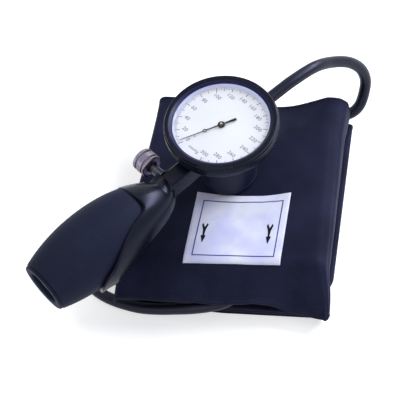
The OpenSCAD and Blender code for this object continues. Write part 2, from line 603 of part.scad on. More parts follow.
// The neck block carries the release valve and the bulb
spigot_len = 10;
spigot_bore = 2.6;
seal_t = 1;
valve_seat_y = 3.2;
barrel_d = 5.8;
barrel_end = 15.5;
pitch_of_thread = 0.7;
module neck_block() color("#121219") on_gauge() difference() {
  along_x(-neck_end - 3, axis_z) linear_extrude(neck_end + 3 - neck_face)
    polygon([for (q = [0 : 3]) for (a = [15, 45, 75]) let (c = neck_w / 2 - 1.2, t = 90 * q + a)
      [c * sign(cos(t)) + 1.2 * cos(t), c * sign(sin(t)) + 1.2 * sin(t)]]);
  on_bulb() translate([-20, -20, 0]) cube([40, 40, 10]);
  along_x(-neck_end - 1, axis_z) cylinder(d = air_d, h = neck_end);
  along_x(-neck_face - spigot_len + spigot_in, axis_z) cylinder(d = spigot_d, h = spigot_len);
  along_x(-neck_face - 0.8, axis_z) cylinder(d = spigot_d + 2 * seal_t, h = 1);
  on_bulb() translate([0, 0, -fitting_in]) cylinder(d = fitting_d, h = fitting_in + 1);
  along_y(1, -valve_at, axis_z) cylinder(d = 1.6, h = 4);
  along_y(valve_seat_y, -valve_at, axis_z) cylinder(d = barrel_d, h = 10);
}
module neck_spigot() color("#a9a9b0") on_gauge() difference() {
  along_x(-neck_face - spigot_len + spigot_in, axis_z) cylinder(d = spigot_d, h = spigot_len - eps);
  along_x(-neck_face - spigot_len, axis_z) cylinder(d = spigot_bore, h = 2 * spigot_len);
}
module neck_seal() color("#202022") on_gauge() along_x(-neck_face - 0.8, axis_z) difference() {
  cylinder(d = spigot_d + 2 * seal_t, h = 0.8);
  translate([0, 0, -eps]) cylinder(d = spigot_d, h = 2);
}
module valve_barrel() color("#4a4a52") on_gauge() difference() {
  along_y(valve_seat_y, -valve_at, axis_z) cylinder(d = barrel_d, h = barrel_end - valve_seat_y);
  along_y(0, -valve_at, axis_z) cylinder(d = needle_d + 2 * run_gap, h = 30);
  along_y(barrel_end - 2.4, -valve_at, axis_z) cylinder(d = packing_d, h = 5);
  translate([-valve_at, neck_w / 2 + 2.4, axis_z - 5]) cylinder(d = 1.2, h = 10);
}
packing_d = needle_d + 1.5;
module valve_packing() color("#202022") on_gauge() along_y(barrel_end - 2.4, -valve_at, axis_z) difference() {
  cylinder(d = packing_d, h = 1.6);
  translate([0, 0, -eps]) cylinder(d = needle_d + 2 * run_gap, h = 4);
}
knob_start = barrel_end + 0.3;
needle_end = knob_start + knob_len - 2;
module valve_needle() color("#b4b4bb") on_gauge() {
  along_y(valve_seat_y + 1.2, -valve_at, axis_z)
    cylinder(d = needle_d, h = needle_end - valve_seat_y - 1.2);
  along_y(valve_seat_y - 0.6, -valve_at, axis_z) cylinder(r1 = 0.2, r2 = needle_d / 2, h = 1.8 + eps);
}
module valve_knob() color("#8a8a92") on_gauge() along_y(knob_start, -valve_at, axis_z) difference() {
  linear_extrude(knob_len) polygon([for (k = [0 : knob_ridges - 1])
    for (s = [[0, 0.35], [0.35, 0], [0.65, 0]])
    let (a = 360 * (k + s[0]) / knob_ridges) (knob_d / 2 - s[1]) * [cos(a), sin(a)]]);
  for (z = [2.2, knob_len - 3]) translate([0, 0, z]) difference() {
    cylinder(d = knob_d + 2, h = 0.7);
    translate([0, 0, -eps]) cylinder(d = knob_d - 1.4, h = 1);
  }
  translate([0, 0, -eps]) cylinder(d = barrel_d + 0.8, h = 1.6);
  translate([0, 0, -eps]) cylinder(d = needle_d + 2 * run_gap, h = needle_end - knob_start + 0.1);
}

// The hose goes over the nipple and a clamp holds it
nipple_thread_d = 5;
nipple_flange_t = 1.6;
hose_start = body_r + 1.5 + nipple_flange_t;
module hose_nipple() color("#3a3a42") on_gauge() difference() {
  union() {
    along_x(body_r - 1.5 + eps, nipple_z) cylinder(d = nipple_thread_d - 2 * eps, h = 3.2);
    along_x(body_r + 1.5, nipple_z) cylinder(d = 8.6, h = nipple_flange_t);
    along_x(hose_start - eps, nipple_z) cylinder(d = hose_bore - 0.5, h = 12);
    for (k = [0 : 2]) along_x(hose_start + 1 + 3.4 * k, nipple_z)
      cylinder(d1 = hose_bore - 0.1, d2 = hose_bore - 0.5, h = 3);
  }
  along_x(body_r - 2, nipple_z) cylinder(d = 2.2, h = 30);
}
module hose_clamp() color("#2c2c33") on_gauge() along_x(hose_start + 2, nipple_z) difference() {
  cylinder(d = hose_d + 1.4, h = 9);
  translate([0, 0, -eps]) cylinder(d = hose_d + 2 * ply_gap, h = 10);
}

// Route of the hose from the nipple, over the back of the cuff, through the fold between its layers,
// out at the front and round under the bulb into the bladder's port
hose_out = from_gauge([hose_start, 0, nipple_z]);
hose_next = from_gauge([hose_start + 13, 0, nipple_z]);
hose_route = [hose_out, hose_next,
    [23, 44.6, 69.2], [31.4, 53.9, 69.2], [42.2, 66.5, 66.5], [51, 77.5, 59], [61, 86, 50], [68, 90, 40],
    [71, 90.5, 29], [70, 87.5, 19], [67, 83, 11.5], [61.5, 80, 7.5], [54, 79, 6.5], [46, 80, 8.5],
    [38, 79.5, 11], [31.5, 75, 12.6], [27.5, 66, 12.4], [25, 48, 12], [22.5, 25, 11.8], [19.5, 0, 11.8],
    [16.5, -25, 11.8], [13, -46, 11.8], [8, -60, 11.7], [0.5, -68.5, 11.5], [-10, -72.9, 11.2],
    [-21, -74.5, 10], [-31.5, -74.4, 8], [-42, -74, 6], [-53, -73, 4.5], [-62.5, -71, 3.9],
    [-71, -68.5, 3.8], [-79, -65, 3.8], [-86, -60, 3.8], [-90.5, -52.5, 4], [-91, -44.5, 5.6],
    [-88, -38, 8.6], [-82, -33.6, 12], [-cuff_left - 12, port_y, port_z], [-cuff_left - 6, port_y, port_z],
    [-cuff_left + 1, port_y, port_z]];
hose_sides = 10;
hose_splits = 2;
function spline(p, i, t) = let (a = p[max(i - 1, 0)], b = p[i], c = p[i + 1], d = p[min(i + 2, len(p) - 1)])
    0.5 * (2 * b + (c - a) * t + (2 * a - 5 * b + 4 * c - d) * t * t + (3 * b - a - 3 * c + d) * t * t * t);
hose_line = concat([for (i = [0 : len(hose_route) - 2]) for (k = [0 : hose_splits - 1])
    spline(hose_route, i, k / hose_splits)], [hose_route[len(hose_route) - 1]]);
function unit3(v) = v / norm(v);
function line_dir(i) = let (n = len(hose_line) - 1) i == 0 ? unit3(hose_line[1] - hose_line[0])
    : i == n ? [1, 0, 0] : unit3(hose_line[i + 1] - hose_line[i - 1]);
function carried(side, d) = unit3(side - d * (side * d));
hose_frames = [for (i = 0, side = carried([0, 0, 1], line_dir(0)); i < len(hose_line);
    i = i + 1, side = i < len(hose_line) ? carried(side, line_dir(i)) : side) side];
function ring(i, r) = let (d = line_dir(i), s = hose_frames[i], c = cross(d, s))
    [for (k = [0 : hose_sides - 1]) let (a = 360 * k / hose_sides)
      hose_line[i] + r * (cos(a) * s + sin(a) * c)];
module hose() color("#17171b") {
  n = len(hose_line);
  s = hose_sides;
  points = concat([for (i = [0 : n - 1]) for (p = ring(i, hose_d / 2)) p],
      [for (i = [0 : n - 1]) for (p = ring(i, hose_bore / 2 + 0.15)) p]);
  inner = n * s;
  quads = concat(
    [for (i = [0 : n - 2]) for (k = [0 : s - 1]) let (m = (k + 1) % s)
      [i * s + k, (i + 1) * s + k, (i + 1) * s + m, i * s + m]],
    [for (i = [0 : n - 2]) for (k = [0 : s - 1]) let (m = (k + 1) % s)
      [inner + i * s + k, inner + i * s + m, inner + (i + 1) * s + m, inner + (i + 1) * s + k]],
    [for (k = [0 : s - 1]) let (m = (k + 1) % s) [k, m, inner + m, inner + k]],
    [for (k = [0 : s - 1]) let (m = (k + 1) % s, e = (n - 1) * s)
      [e + k, inner + e + k, inner + e + m, e + m]]);
  polyhedron(points, split(quads), convexity = 20);
}

// The bulb's own frame: Z along its axis from the neck, X up, tilted down by its slope
module on_bulb() translate([-neck_end, 0, axis_z]) rotate([0, -90 - bulb_slope, 0]) children();
bulb_r = bulb_d / 2;
bulb_end_r = bulb_end_d / 2;
widest_at = 0.59 * bulb_len;
hood_base_t = 1.8;
fitting_flange_t = 1.6;
neck_start = hood_base_t + fitting_flange_t + 0.2;
function bulb_at(t) = t < widest_at
    ? bulb_r * pow(1 - pow((widest_at - t) / widest_at, 2.05), 0.62)
    : bulb_r - (bulb_r - bulb_end_r) * pow((t - widest_at) / (bulb_len - widest_at), 2.1);
recess_r = 10.2;
recess_t = 4;
fitting_in = 3.6;
fitting_d = 6;
tail_r = 4.2;
throat_len = 12;
inlet_r = 5.5;
collar_sink = 1.3;
collar_step = 1.8;
function shell_at(t) = bulb_at(t)
  - collar_sink * (1 - soft_step(collar_len + 0.3, collar_len + collar_step, t));
bulb_ts = concat(steps(neck_start, collar_len + 0.3, 6),
    steps(collar_len + collar_step, bulb_len - 0.8, 20));
inside_ts = steps(neck_start + throat_len, bulb_len - recess_t - 3, 20);
module bulb_shell() color("#20222c") on_gauge() on_bulb() rotate_extrude() polygon(concat(
    [[tail_r, neck_start]], [for (t = bulb_ts) [max(shell_at(t), tail_r + 1), t]],
    [[bulb_end_r - 0.9, bulb_len], [recess_r, bulb_len], [recess_r, bulb_len - recess_t],
     [inlet_r, bulb_len - recess_t], [inlet_r, bulb_len - recess_t - 3]],
    [for (i = [len(inside_ts) - 1 : -1 : 1]) [shell_at(inside_ts[i]) - bulb_wall, inside_ts[i]]],
    [[tail_r, neck_start + throat_len]]));

// The spoon: a collar round the bulb's neck that runs out into a tongue along one side
tongue_at = -118;
tongue_half = 79;
tongue_flare = 2.8;
spoon_gap = 0.25;
function off_tongue(a) = abs(((a - tongue_at + 540) % 360) - 180);
function lip_t(a) = off_tongue(a) >= tongue_half ? collar_len
    : collar_len + tongue_len * pow(1 - pow(off_tongue(a) / tongue_half, 1.3), 0.85);
function flare(t) = tongue_flare * soft_step(collar_len + 0.4 * tongue_len, collar_len + tongue_len, t);
function raised(t, a) = soft_step(collar_len - 6, collar_len - 0.5, t)
    * soft_step(tongue_half + 18, tongue_half, off_tongue(a));
function spoon_in(t, a) = max(bulb_at(t) - collar_sink * (1 - raised(t, a)), tail_r + 1)
  + spoon_gap + flare(t);
function spoon_line(a, side) = let (ts = steps(neck_start, lip_t(a), 11)) concat(
    side > 0 ? [[fitting_d / 2 + 0.1, 0], [6.2, 0], [7.4, 1.2]]
      : [[fitting_d / 2 + 0.1, hood_base_t], [5.4, hood_base_t], [6.4, hood_base_t + 0.8]],
    [for (t = ts) [spoon_in(t, a) + (side > 0 ? spoon_wall : 0), t]]);
spoon_sides = 48;
module spoon() {
  angles = [for (k = [0 : spoon_sides - 1]) 360 * k / spoon_sides];
  rows = len(spoon_line(0, 1));
  points = [for (side = [1, -1]) for (a = angles) for (p = spoon_line(a, side))
      [p[0] * cos(a), p[0] * sin(a), p[1]]];
  inner = spoon_sides * rows;
  function at(k, i, side) = (side > 0 ? 0 : inner) + (k % spoon_sides) * rows + i;
  quads = [for (k = [0 : spoon_sides - 1]) each concat(
    [for (i = [0 : rows - 2]) [at(k, i, 1), at(k, i + 1, 1), at(k + 1, i + 1, 1), at(k + 1, i, 1)]],
    [for (i = [0 : rows - 2]) [at(k, i, -1), at(k + 1, i, -1), at(k + 1, i + 1, -1), at(k, i + 1, -1)]],
    [[at(k, 0, 1), at(k + 1, 0, 1), at(k + 1, 0, -1), at(k, 0, -1)],
     [at(k, rows - 1, 1), at(k, rows - 1, -1), at(k + 1, rows - 1, -1), at(k + 1, rows - 1, 1)]])];
  color("#14141b") on_gauge() on_bulb() polyhedron(points, split(quads), convexity = 8);
}

// Outlet valve: its disc lifts off the seat while the bulb is squeezed
outlet_bore = 3;
chamber_r = 3;
seat_t = 9;
disc_r = 2.6;
disc_h = 1;
valve_lift = 0.9;
module outlet_fitting() color("#9a9aa2") on_gauge() on_bulb() difference() {
  union() {
    translate([0, 0, -fitting_in + eps]) cylinder(d = fitting_d, h = fitting_in + hood_base_t);
    translate([0, 0, hood_base_t]) cylinder(r = 5.2, h = fitting_flange_t);
    translate([0, 0, hood_base_t]) cylinder(r = tail_r, h = fitting_flange_t + throat_len);
  }
  translate([0, 0, -fitting_in - 1]) cylinder(d = outlet_bore, h = 40);
  translate([0, 0, seat_t - 3.6]) cylinder(r = chamber_r, h = 3.6);
}
module outlet_disc() color("#6b2c22") on_gauge() on_bulb()
  translate([0, 0, seat_t - disc_h - run_gap]) cylinder(r = disc_r, h = disc_h);
module outlet_stop() color("#9a9aa2") on_gauge() on_bulb() translate([0, 0, seat_t - 3.6]) difference() {
  cylinder(r = chamber_r, h = 3.6 - disc_h - valve_lift - 2 * run_gap - 0.1);
  translate([0, 0, -1]) cylinder(r = 1.2, h = 5);
}

// Inlet valve: its ball leaves the seat while the bulb fills again
ball_r = 2.2;
cage_r = 2.5;
inlet_in = 11;
module inlet_body() color("#8f8f97") on_gauge() on_bulb() translate([0, 0, bulb_len - recess_t]) difference() {
  union() {
    cylinder(r = 8, h = 1.4);
    translate([0, 0, -inlet_in]) cylinder(r = inlet_r, h = inlet_in + eps);
  }
  translate([0, 0, -inlet_in - 1]) cylinder(r = cage_r, h = inlet_in - 2);
  translate([0, 0, -4]) cylinder(r = 1.3, h = 8);
  translate([0, 0, 0.6]) cylinder(r = 3.2, h = 2);
}
ball_t = bulb_len - recess_t - 3 - ball_r - run_gap;
module inlet_ball() color("#c4c4ca") on_gauge() on_bulb() translate([0, 0, ball_t]) sphere(r = ball_r);
module inlet_stop() color("#8f8f97") on_gauge() on_bulb()
  translate([0, 0, bulb_len - recess_t - inlet_in]) difference() {
    cylinder(r = cage_r, h = ball_t - ball_r - valve_lift - 2 * run_gap - (bulb_len - recess_t - inlet_in));
    translate([0, 0, -1]) cylinder(r = 1, h = 6);
  }
module inlet_screen() color("#55555c") on_gauge() on_bulb()
  translate([0, 0, bulb_len - recess_t + 0.6]) difference() {
    cylinder(r = 3.2, h = 0.5);
    for (a = [0 : 60 : 300]) rotate(a) translate([1.7, 0, -1]) cylinder(r = 0.5, h = 3);
    translate([0, 0, -1]) cylinder(r = 0.5, h = 3);
  }

cuff_cloth();
cuff_lining();
bladder();
cuff_binding();
hook_tape();
loop_tape();
cuff_label();
cuff_port();
hose();
hose_clamp();
hose_nipple();
gauge_body();
body_cap();
gauge_case();
case_screws();
bezel();
lens();
lens_gasket();
dial_plate();
dial_screws();
zero_stop();
pointer();
pointer_arbor();
hairspring();
spring_stud();
lower_plate();
upper_plate();
plate_pillars();
plate_screws();
sector_gear();
rocker();
capsule_lower();
capsule_upper();
capsule_post();
capsule_stud();
neck_block();
neck_spigot();
neck_seal();
valve_barrel();
valve_needle();
valve_knob();
valve_packing();
outlet_fitting();
outlet_disc();
outlet_stop();
bulb_shell();
spoon();
inlet_body();
inlet_ball();
inlet_stop();
inlet_screen();
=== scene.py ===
"""Looks of a palm blood pressure gauge with its bulb, spoon, valve and hose, on its folded arm cuff.

Shapes are worked out in millimetres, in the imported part's own frame: X across the cuff's folds, Y along the
width of its cloth, Z up. A mesh gets them in metres.
"""

import json

import bpy
import numpy as np
from mathutils import Matrix


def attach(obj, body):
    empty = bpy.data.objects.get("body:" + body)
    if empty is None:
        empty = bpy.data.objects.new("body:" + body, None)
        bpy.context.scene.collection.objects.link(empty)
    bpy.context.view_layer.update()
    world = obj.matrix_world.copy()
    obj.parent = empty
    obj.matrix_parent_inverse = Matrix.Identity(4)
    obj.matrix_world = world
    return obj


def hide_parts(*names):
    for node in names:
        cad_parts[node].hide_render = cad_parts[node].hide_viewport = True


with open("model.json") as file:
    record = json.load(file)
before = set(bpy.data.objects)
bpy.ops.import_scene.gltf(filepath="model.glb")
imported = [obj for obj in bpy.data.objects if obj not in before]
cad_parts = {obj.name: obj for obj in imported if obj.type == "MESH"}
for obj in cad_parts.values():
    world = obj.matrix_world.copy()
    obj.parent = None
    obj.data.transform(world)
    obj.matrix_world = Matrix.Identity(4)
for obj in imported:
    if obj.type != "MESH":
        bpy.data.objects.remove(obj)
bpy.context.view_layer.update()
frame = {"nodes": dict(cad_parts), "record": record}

bl_info = {
    "name": "Palm blood pressure gauge",
    "version": (1, 0, 0),
    "blender": (4, 5, 0),
    "location": "View3D > Sidebar > Gauge",
    "description": "Dresses a palm blood pressure gauge on its folded arm cuff",
    "category": "Object",
}

MM = 0.001
BASE = "base"

# The cuff: millimetres here and below, mostly the part's own measures, with some for forms of the scene alone
CLOTH_T = 1.5
EDGE_Y = 70.5
CUFF_LEFT = 62.0
CUFF_RIGHT = 59.0
CUFF_H = 29.6
LAYER_PITCH = 2.85
POCKET_T = 9.0
BINDING_W = 2.0
SEAM_IN = 2.2
STITCH_PITCH, STITCH_W, STITCH_H = 3.4, 0.42, 0.3
PILE_T = 0.92
LOWER_REACH = 12.0
LAYERS_BACK = 1.2
CORNER_FALL = 20.5
HOLLOW = 8.0
RIDGE, DENT = 4.0, 3.0
FLAP_DROOP, FLAP_SLIP = 11.0, 3.0
EAR = 5.4
FOLD_POWER = 0.72
CURL_COLUMNS, LEVEL_COLUMNS = 9, 78
TOP_COLUMNS = CURL_COLUMNS + LEVEL_COLUMNS
LABEL_LEFT, LABEL_BACK = -25.4, -4.0
LABEL_W, LABEL_D, LABEL_T = 57.5, 50.5, 0.4
LABEL_SHEAR = (0.035, 0.025)
LABEL_IN = 0.9
LABEL_STITCH = (1.9, 0.35, 0.22)
FRAME = [[-20.9, -50.2], [28.1, -50.2], [28.4, -9.3], [-20.6, -9.5]]
FRAME_W = 0.7
ARROWS_AT = (-16.2, 22.8)
ARROW_RIGHT = [
    [[0, -29.6], [1.0, -29.8], [0.5, -36], [0, -36]],
    [[0, -35.4], [1.5, -35.8], [0.15, -40.8], [0, -40.8]],
    [[0, -29.8], [1.3, -26.6], [2.0, -28.0], [0.6, -32.4]],
]
PRINT_SINK = 0.1
SOFT_GAP = 0.35

# The gauge and its manifold
GAUGE_AT = (-7.4, 11.7)
GAUGE_TURN = 50.0
GAUGE_LEAN = 3.5
LEAN_AXIS = (np.cos(np.radians(18)), np.sin(np.radians(18)), 0.0)
BASE_Z = CUFF_H + SOFT_GAP + LABEL_T + 0.1
AXIS_Z = BASE_Z + 35.5
TOP = BASE_Z + 53.0
BODY_TOP = TOP - 9.1
DIAL_Z = TOP - 5.0
LENS_Z = TOP - 2.4
BODY_R = 17.5
BEZEL_R = 34.0
BEZEL_H = 6.5
CASE_R = 33.0
WINDOW_R = 29.0
DISH_LOW = TOP - 10.55
NECK_W = 13.0
NECK_CHAMFER = 3.6
NECK_ROUND = 0.5
NECK_FACE = 20.0
NECK_END = 48.2
VALVE_AT = 43.0
BARREL_END = 15.5
KNOB_START = 15.8
KNOB_R = 7.25
KNOB_LEN = 10.0
KNOB_RIDGES = 36
RIDGE_DEPTH = 0.42
GROOVE_DEPTH, GROOVE_W = 1.1, 0.42
NIPPLE_Z = AXIS_Z + 2.0
HOSE_START = BODY_R + 3.1
ZERO_MARK = 160.75
POINTER_REST = 157.75
SCALE_SWEEP = 321.5
SCALE_TOP = 300
MARK_INNER_R, MARK_OUTER_R = (24.6, 25.3, 26.2), 27.7
MARK_WIDTHS = (2.0, 1.6, 1.0)
NUMERAL_R = 21.5
UNIT = ("mmHg", 181.0, 22.6, 0.8)

# The bulb and its spoon
BULB_LEN = 91.0
BULB_R = 21.6
BULB_END_R = 15.2
BULB_WIDEST = 53.69
BULB_SLOPE = 0.5
BULB_PLUG_R = 10.2
NECK_START = 3.6
COLLAR_LEN = 18.3
COLLAR_SINK = 1.3
TONGUE_AT = -118.0
TONGUE_FLARE = 0.7
SPOON_GAP = 0.25
SPOON_WALL = 1.6
HOOD_R = 7.17
HOOD_START = -2.2
HOOD_END = 40.0
HOOD_POWER = 0.305
LIP_R = 0.31
SPOON_LIP = [
    [180, 20.8], [140, 20.6], [110, 19.7], [97, 19.3], [89, 19.4], [83, 20], [78.4, 21.3], [75.6, 24],
    [74.2, 27.6], [70.8, 33.2], [66, 38.3], [58.5, 44], [49, 50], [39.5, 55.5], [33, 60], [25.5, 63.5],
    [14, 65.5], [0, 66],
]
TAIL_R = 4.2

# The hose
HOSE_D = 7.3
SLEEVE_R, SLEEVE_LEN = 4.35, 9.0
HOSE_TURNS = [
    [23, 44.6, 69.2], [31.4, 53.9, 69.2], [42.2, 66.5, 66.5], [51, 77.5, 59], [61, 86, 50], [68, 90, 40],
    [71, 90.5, 29], [70, 87.5, 19], [67, 83, 11.5], [61.5, 80, 7.5], [54, 79, 6.5], [46, 80, 8.5],
    [38, 79.5, 11], [31.5, 75, 12.6], [27.5, 66, 12.4], [25, 48, 12], [22.5, 25, 11.8], [19.5, 0, 11.8],
    [16.5, -25, 11.8], [13, -46, 11.8], [8, -60, 11.7], [0.5, -68.5, 11.5], [-10, -72.9, 11.2],
    [-21, -74.5, 10], [-31.5, -74.4, 8], [-42, -74, 6], [-53, -73, 4.5], [-62.5, -71, 3.9],
    [-71, -68.5, 3.8], [-79, -65, 3.8], [-86, -60, 3.8], [-90.5, -52.5, 4], [-91, -44.5, 5.6],
    [-88, -38, 8.6], [-82, -33.6, 12], [-74, -32, 14.5], [-68, -32, 14.5], [-61, -32, 14.5],
]


# Frames


def turn(axis, degrees):
    """Turning matrix about an axis through the origin (Rodrigues' formula)."""
    x, y, z = np.asarray(axis, float) / np.linalg.norm(axis)
    k = np.array([[0, -z, y], [z, 0, -x], [-y, x, 0]])
    a = np.radians(degrees)
    return np.eye(3) + np.sin(a) * k + (1 - np.cos(a)) * k @ k


GAUGE_AXES = turn(LEAN_AXIS, GAUGE_LEAN) @ turn((0, 0, 1), GAUGE_TURN)
BULB_AXES = turn((0, 1, 0), -90 - BULB_SLOPE)


def on_gauge(points):
    """Points of the hand piece's own frame: turned about its foot, leant, and stood on the cuff."""
    return np.array([*GAUGE_AT, BASE_Z]) + (np.asarray(points, float) - [0, 0, BASE_Z]) @ GAUGE_AXES.T


def on_bulb(points):
    """Points of the bulb's own frame, whose Z runs along its axis from the neck."""
    return on_gauge(np.asarray(points, float) @ BULB_AXES.T + [-NECK_END, 0, AXIS_Z])


def along_valve(points):
    """Points turned round Z go round the release valve's axis, with their Z along it."""
    x, y, z = np.moveaxis(points, -1, 0)
    return on_gauge(points_of(x - VALVE_AT, z, AXIS_Z - y))


def along_nipple(points):
    """Points turned round Z go round the hose nipple's axis, with their Z along it."""
    x, y, z = np.moveaxis(points, -1, 0)
    return on_gauge(points_of(z, y, NIPPLE_Z - x))


# Curves and skins


def soft_step(a, b, v):
    """Smooth rise from 0 at a to 1 at b: 3 t^2 - 2 t^3 of the clamped way between them."""
    t = np.clip((np.asarray(v, float) - a) / (b - a), 0, 1)
    return t * t * (3 - 2 * t)


def bump(at, width, v):
    """Bell of height 1 at a place: e to the minus squared distance in widths."""
    return np.exp(-(((np.asarray(v, float) - at) / width) ** 2))


def unit(v):
    """Vectors scaled to length 1."""
    return v / np.maximum(np.linalg.norm(v, axis=-1, keepdims=True), 1e-12)


def points_of(*axes):
    """Points from their coordinates along each axis."""
    return np.stack(np.broadcast_arrays(*axes), -1)


def round_axis(a):
    """Points of the circle of radius 1: cosine and sine of each angle."""
    return points_of(np.cos(a), np.sin(a))


def filleted(corners, steps=5):
    """Closed line (r, z) whose corners (r, z, cut) are rounded: each is a parabola from a cut's length
    before the corner to a cut's length after it."""
    c = np.asarray(corners, float)
    p, cut = c[:, None, :2], c[:, None, 2:]
    a = p + cut * unit(np.roll(p, 1, 0) - p)
    b = p + cut * unit(np.roll(p, -1, 0) - p)
    t = np.linspace(0, 1, steps + 1)[None, :, None]
    line = ((1 - t) ** 2 * a + 2 * t * (1 - t) * p + t * t * b).reshape(-1, 2)
    return line[np.linalg.norm(line - np.roll(line, 1, 0), axis=1) > 1e-4]


def spline(points, splits):
    """Smooth line through points: a cubic between neighbours whose slope at each is half the step
    between the points on its two sides (Catmull-Rom)."""
    p = np.asarray(points, float)
    a, b, c, d = p[np.r_[0, : len(p) - 2]], p[:-1], p[1:], p[np.r_[2 : len(p), len(p) - 1]]
    t = (np.arange(splits) / splits)[None, :, None]
    a, b, c, d = (v[:, None, :] for v in (a, b, c, d))
    line = 0.5 * (2 * b + (c - a) * t + (2 * a - 5 * b + 4 * c - d) * t**2 + (3 * b - a - 3 * c + d) * t**3)
    return np.concatenate([line.reshape(-1, p.shape[1]), p[-1:]])


def lengths_of(steps):
    """How far along a line each point is: 0, then the running sum of the steps between its points."""
    return np.concatenate([[0], np.cumsum(steps)])


def run_of(line):
    """How far along a line each of its points is."""
    return lengths_of(np.linalg.norm(np.diff(line, axis=0), axis=1))


def picked(line, far, s):
    """Points of a line at the lengths s, where far is the length at each of its own points."""
    return np.stack([np.interp(s, far, column) for column in line.T], -1)


def along(line, spacing, margin=0.0):
    """Points of a line at equal steps of its length, with the direction of the line at each, taken over
    0.3 mm to either side."""
    far = run_of(line)
    at = np.arange(margin, far[-1] - margin, spacing)
    before, after = (picked(line, far, np.clip(at + s, 0, far[-1])) for s in (-0.3, 0.3))
    return picked(line, far, at), unit(after - before)


def outlined(corners, steps):
    """Points of a closed outline with straight sides, so many to each side."""
    c = np.asarray(corners, float)
    way = np.linspace(0, 1, steps, endpoint=False)[:, None]
    return np.concatenate([a + (b - a) * way for a, b in zip(c, np.roll(c, -1, 0))])


def grid(rows, cols, wrap_rows=False, wrap_cols=False):
    """Quads of a grid of points that are numbered row by row."""
    index = np.arange(rows * cols).reshape(rows, cols)
    if wrap_rows:
        index = np.concatenate([index, index[:1]])
    if wrap_cols:
        index = np.concatenate([index, index[:, :1]], 1)
    quads = [index[:-1, :-1], index[:-1, 1:], index[1:, 1:], index[1:, :-1]]
    return np.stack(quads, -1).reshape(-1, 4)


def skin(points, faces, uvs=None):
    """A skin: points, quads (a triangle repeats a corner), and a UV pair for each corner."""
    if uvs is None:
        uvs = np.zeros((*faces.shape, 2))
    return np.asarray(points, float).reshape(-1, 3), faces, uvs


def joined(skins):
    """Several skins as one."""
    starts = lengths_of([len(s[0]) for s in skins[:-1]])
    points, faces, uvs = zip(*skins)
    moved_on = [f + n for f, n in zip(faces, starts)]
    return np.concatenate(points), np.concatenate(moved_on), np.concatenate(uvs)


def moved(place, shape):
    """The same skin with its points put in place by one of the frames."""
    points, faces, uvs = shape
    return place(points), faces, uvs


def outwards(points, faces, uvs):
    """The same skin with its faces outwards: turned round if the volume that it encloses is negative."""
    a, b, c, d = (points[faces[:, k]] for k in range(4))
    volume = np.sum(a * np.cross(b, c)) + np.sum(a * np.cross(c, d))
    return (points, faces, uvs) if volume > 0 else (points, faces[:, ::-1], uvs[:, ::-1])


def closed_rings(rings):
    """Closed skin over rings of points, where the last ring joins the first again."""
    return outwards(*skin(rings, grid(*rings.shape[:2], True, True)))


def turned(profile, sides=96, angles=None, swell=None):
    """Turned skin: every (r, z) of a closed profile goes round the Z axis, x = r cos a, y = r sin a.
    swell(a, r, z) gives a radius that changes round the axis. A point on the axis stays one point."""
    r, z = np.asarray(profile, float).T
    a = np.linspace(0, 2 * np.pi, sides, endpoint=False) if angles is None else np.asarray(angles)
    a = a[:, None]
    rr = r[None] if swell is None else swell(a, r[None], z[None])
    rr = np.broadcast_to(rr, (len(a), len(r)))
    points = points_of(rr * np.cos(a), rr * np.sin(a), z)
    index = np.arange(rr.size).reshape(rr.shape)
    index[:, r < 1e-9] = index[0, r < 1e-9]
    return outwards(*skin(points, index.ravel()[grid(*rr.shape, True, True)]))


def lathed(place, corners, sides):
    """A turned skin of a filleted profile, put in place by one of the frames."""
    return moved(place, turned(filleted(corners), sides))


def tube(rings, lengths=None):
    """Closed skin over a row of rings of points: quads between neighbours and a fan in each end.
    Its UV runs along and round it, in metres."""
    n, s = rings.shape[:2]
    points = np.concatenate([rings.reshape(-1, 3), rings[[0, -1]].mean(1)])
    k = np.arange(s)
    m = np.roll(k, -1)
    far = (n - 1) * s
    near_fan = np.stack([np.full(s, n * s), m, k, k], -1)
    far_fan = np.stack([np.full(s, n * s + 1), far + k, far + m, far + m], -1)
    faces = np.concatenate([grid(n, s, False, True), near_fan, far_fan])
    uvs = np.zeros((len(faces), 4, 2))
    if lengths is not None:
        around = np.linalg.norm(rings[0] - np.roll(rings[0], 1, 0), axis=1).sum()
        u, v = np.meshgrid(lengths, np.linspace(0, around, s + 1), indexing="ij")
        corners = grid(n, s + 1)
        uvs[: len(corners)] = points_of(u, v).reshape(-1, 2)[corners] * MM
    return outwards(*skin(points, faces, uvs))


def sheeted(upper, lower, uv):
    """Closed skin of a sheet: its upper and lower grids of points, and a strip along each edge."""
    rows, cols = upper.shape[:2]
    top = np.arange(rows * cols).reshape(rows, cols)
    low = top + rows * cols
    strip = lambda t, b: np.stack([t[1:], t[:-1], b[:-1], b[1:]], -1)
    faces = np.concatenate([
        grid(rows, cols),
        grid(rows, cols)[:, ::-1] + rows * cols,
        strip(top[0], low[0]),
        strip(top[-1, ::-1], low[-1, ::-1]),
        strip(top[::-1, 0], low[::-1, 0]),
        strip(top[:, -1], low[:, -1]),
    ])
    both = np.concatenate([uv.reshape(-1, 2)] * 2) * MM
    return outwards(*skin(np.concatenate([upper.reshape(-1, 3), lower.reshape(-1, 3)]), faces, both[faces]))


def hose_like(line, radius, sides=28):
    """Round tube along a line: at each point a circle square to the line. The circle's side turns as little
    as it can: each side is the last one with its part along the new direction taken off."""
    ahead = unit(np.gradient(line, axis=0))
    side = np.empty_like(line)
    last = np.cross([0.0, 0.0, 1.0], ahead[0])
    for i, d in enumerate(ahead):
        last = last - d * np.dot(last, d)
        last = last / np.linalg.norm(last)
        side[i] = last
    up = np.cross(ahead, side)
    a = np.linspace(0, 2 * np.pi, sides, endpoint=False)[None, :, None]
    rings = line[:, None] + radius * (np.cos(a) * side[:, None] + np.sin(a) * up[:, None])
    return tube(rings, run_of(line))


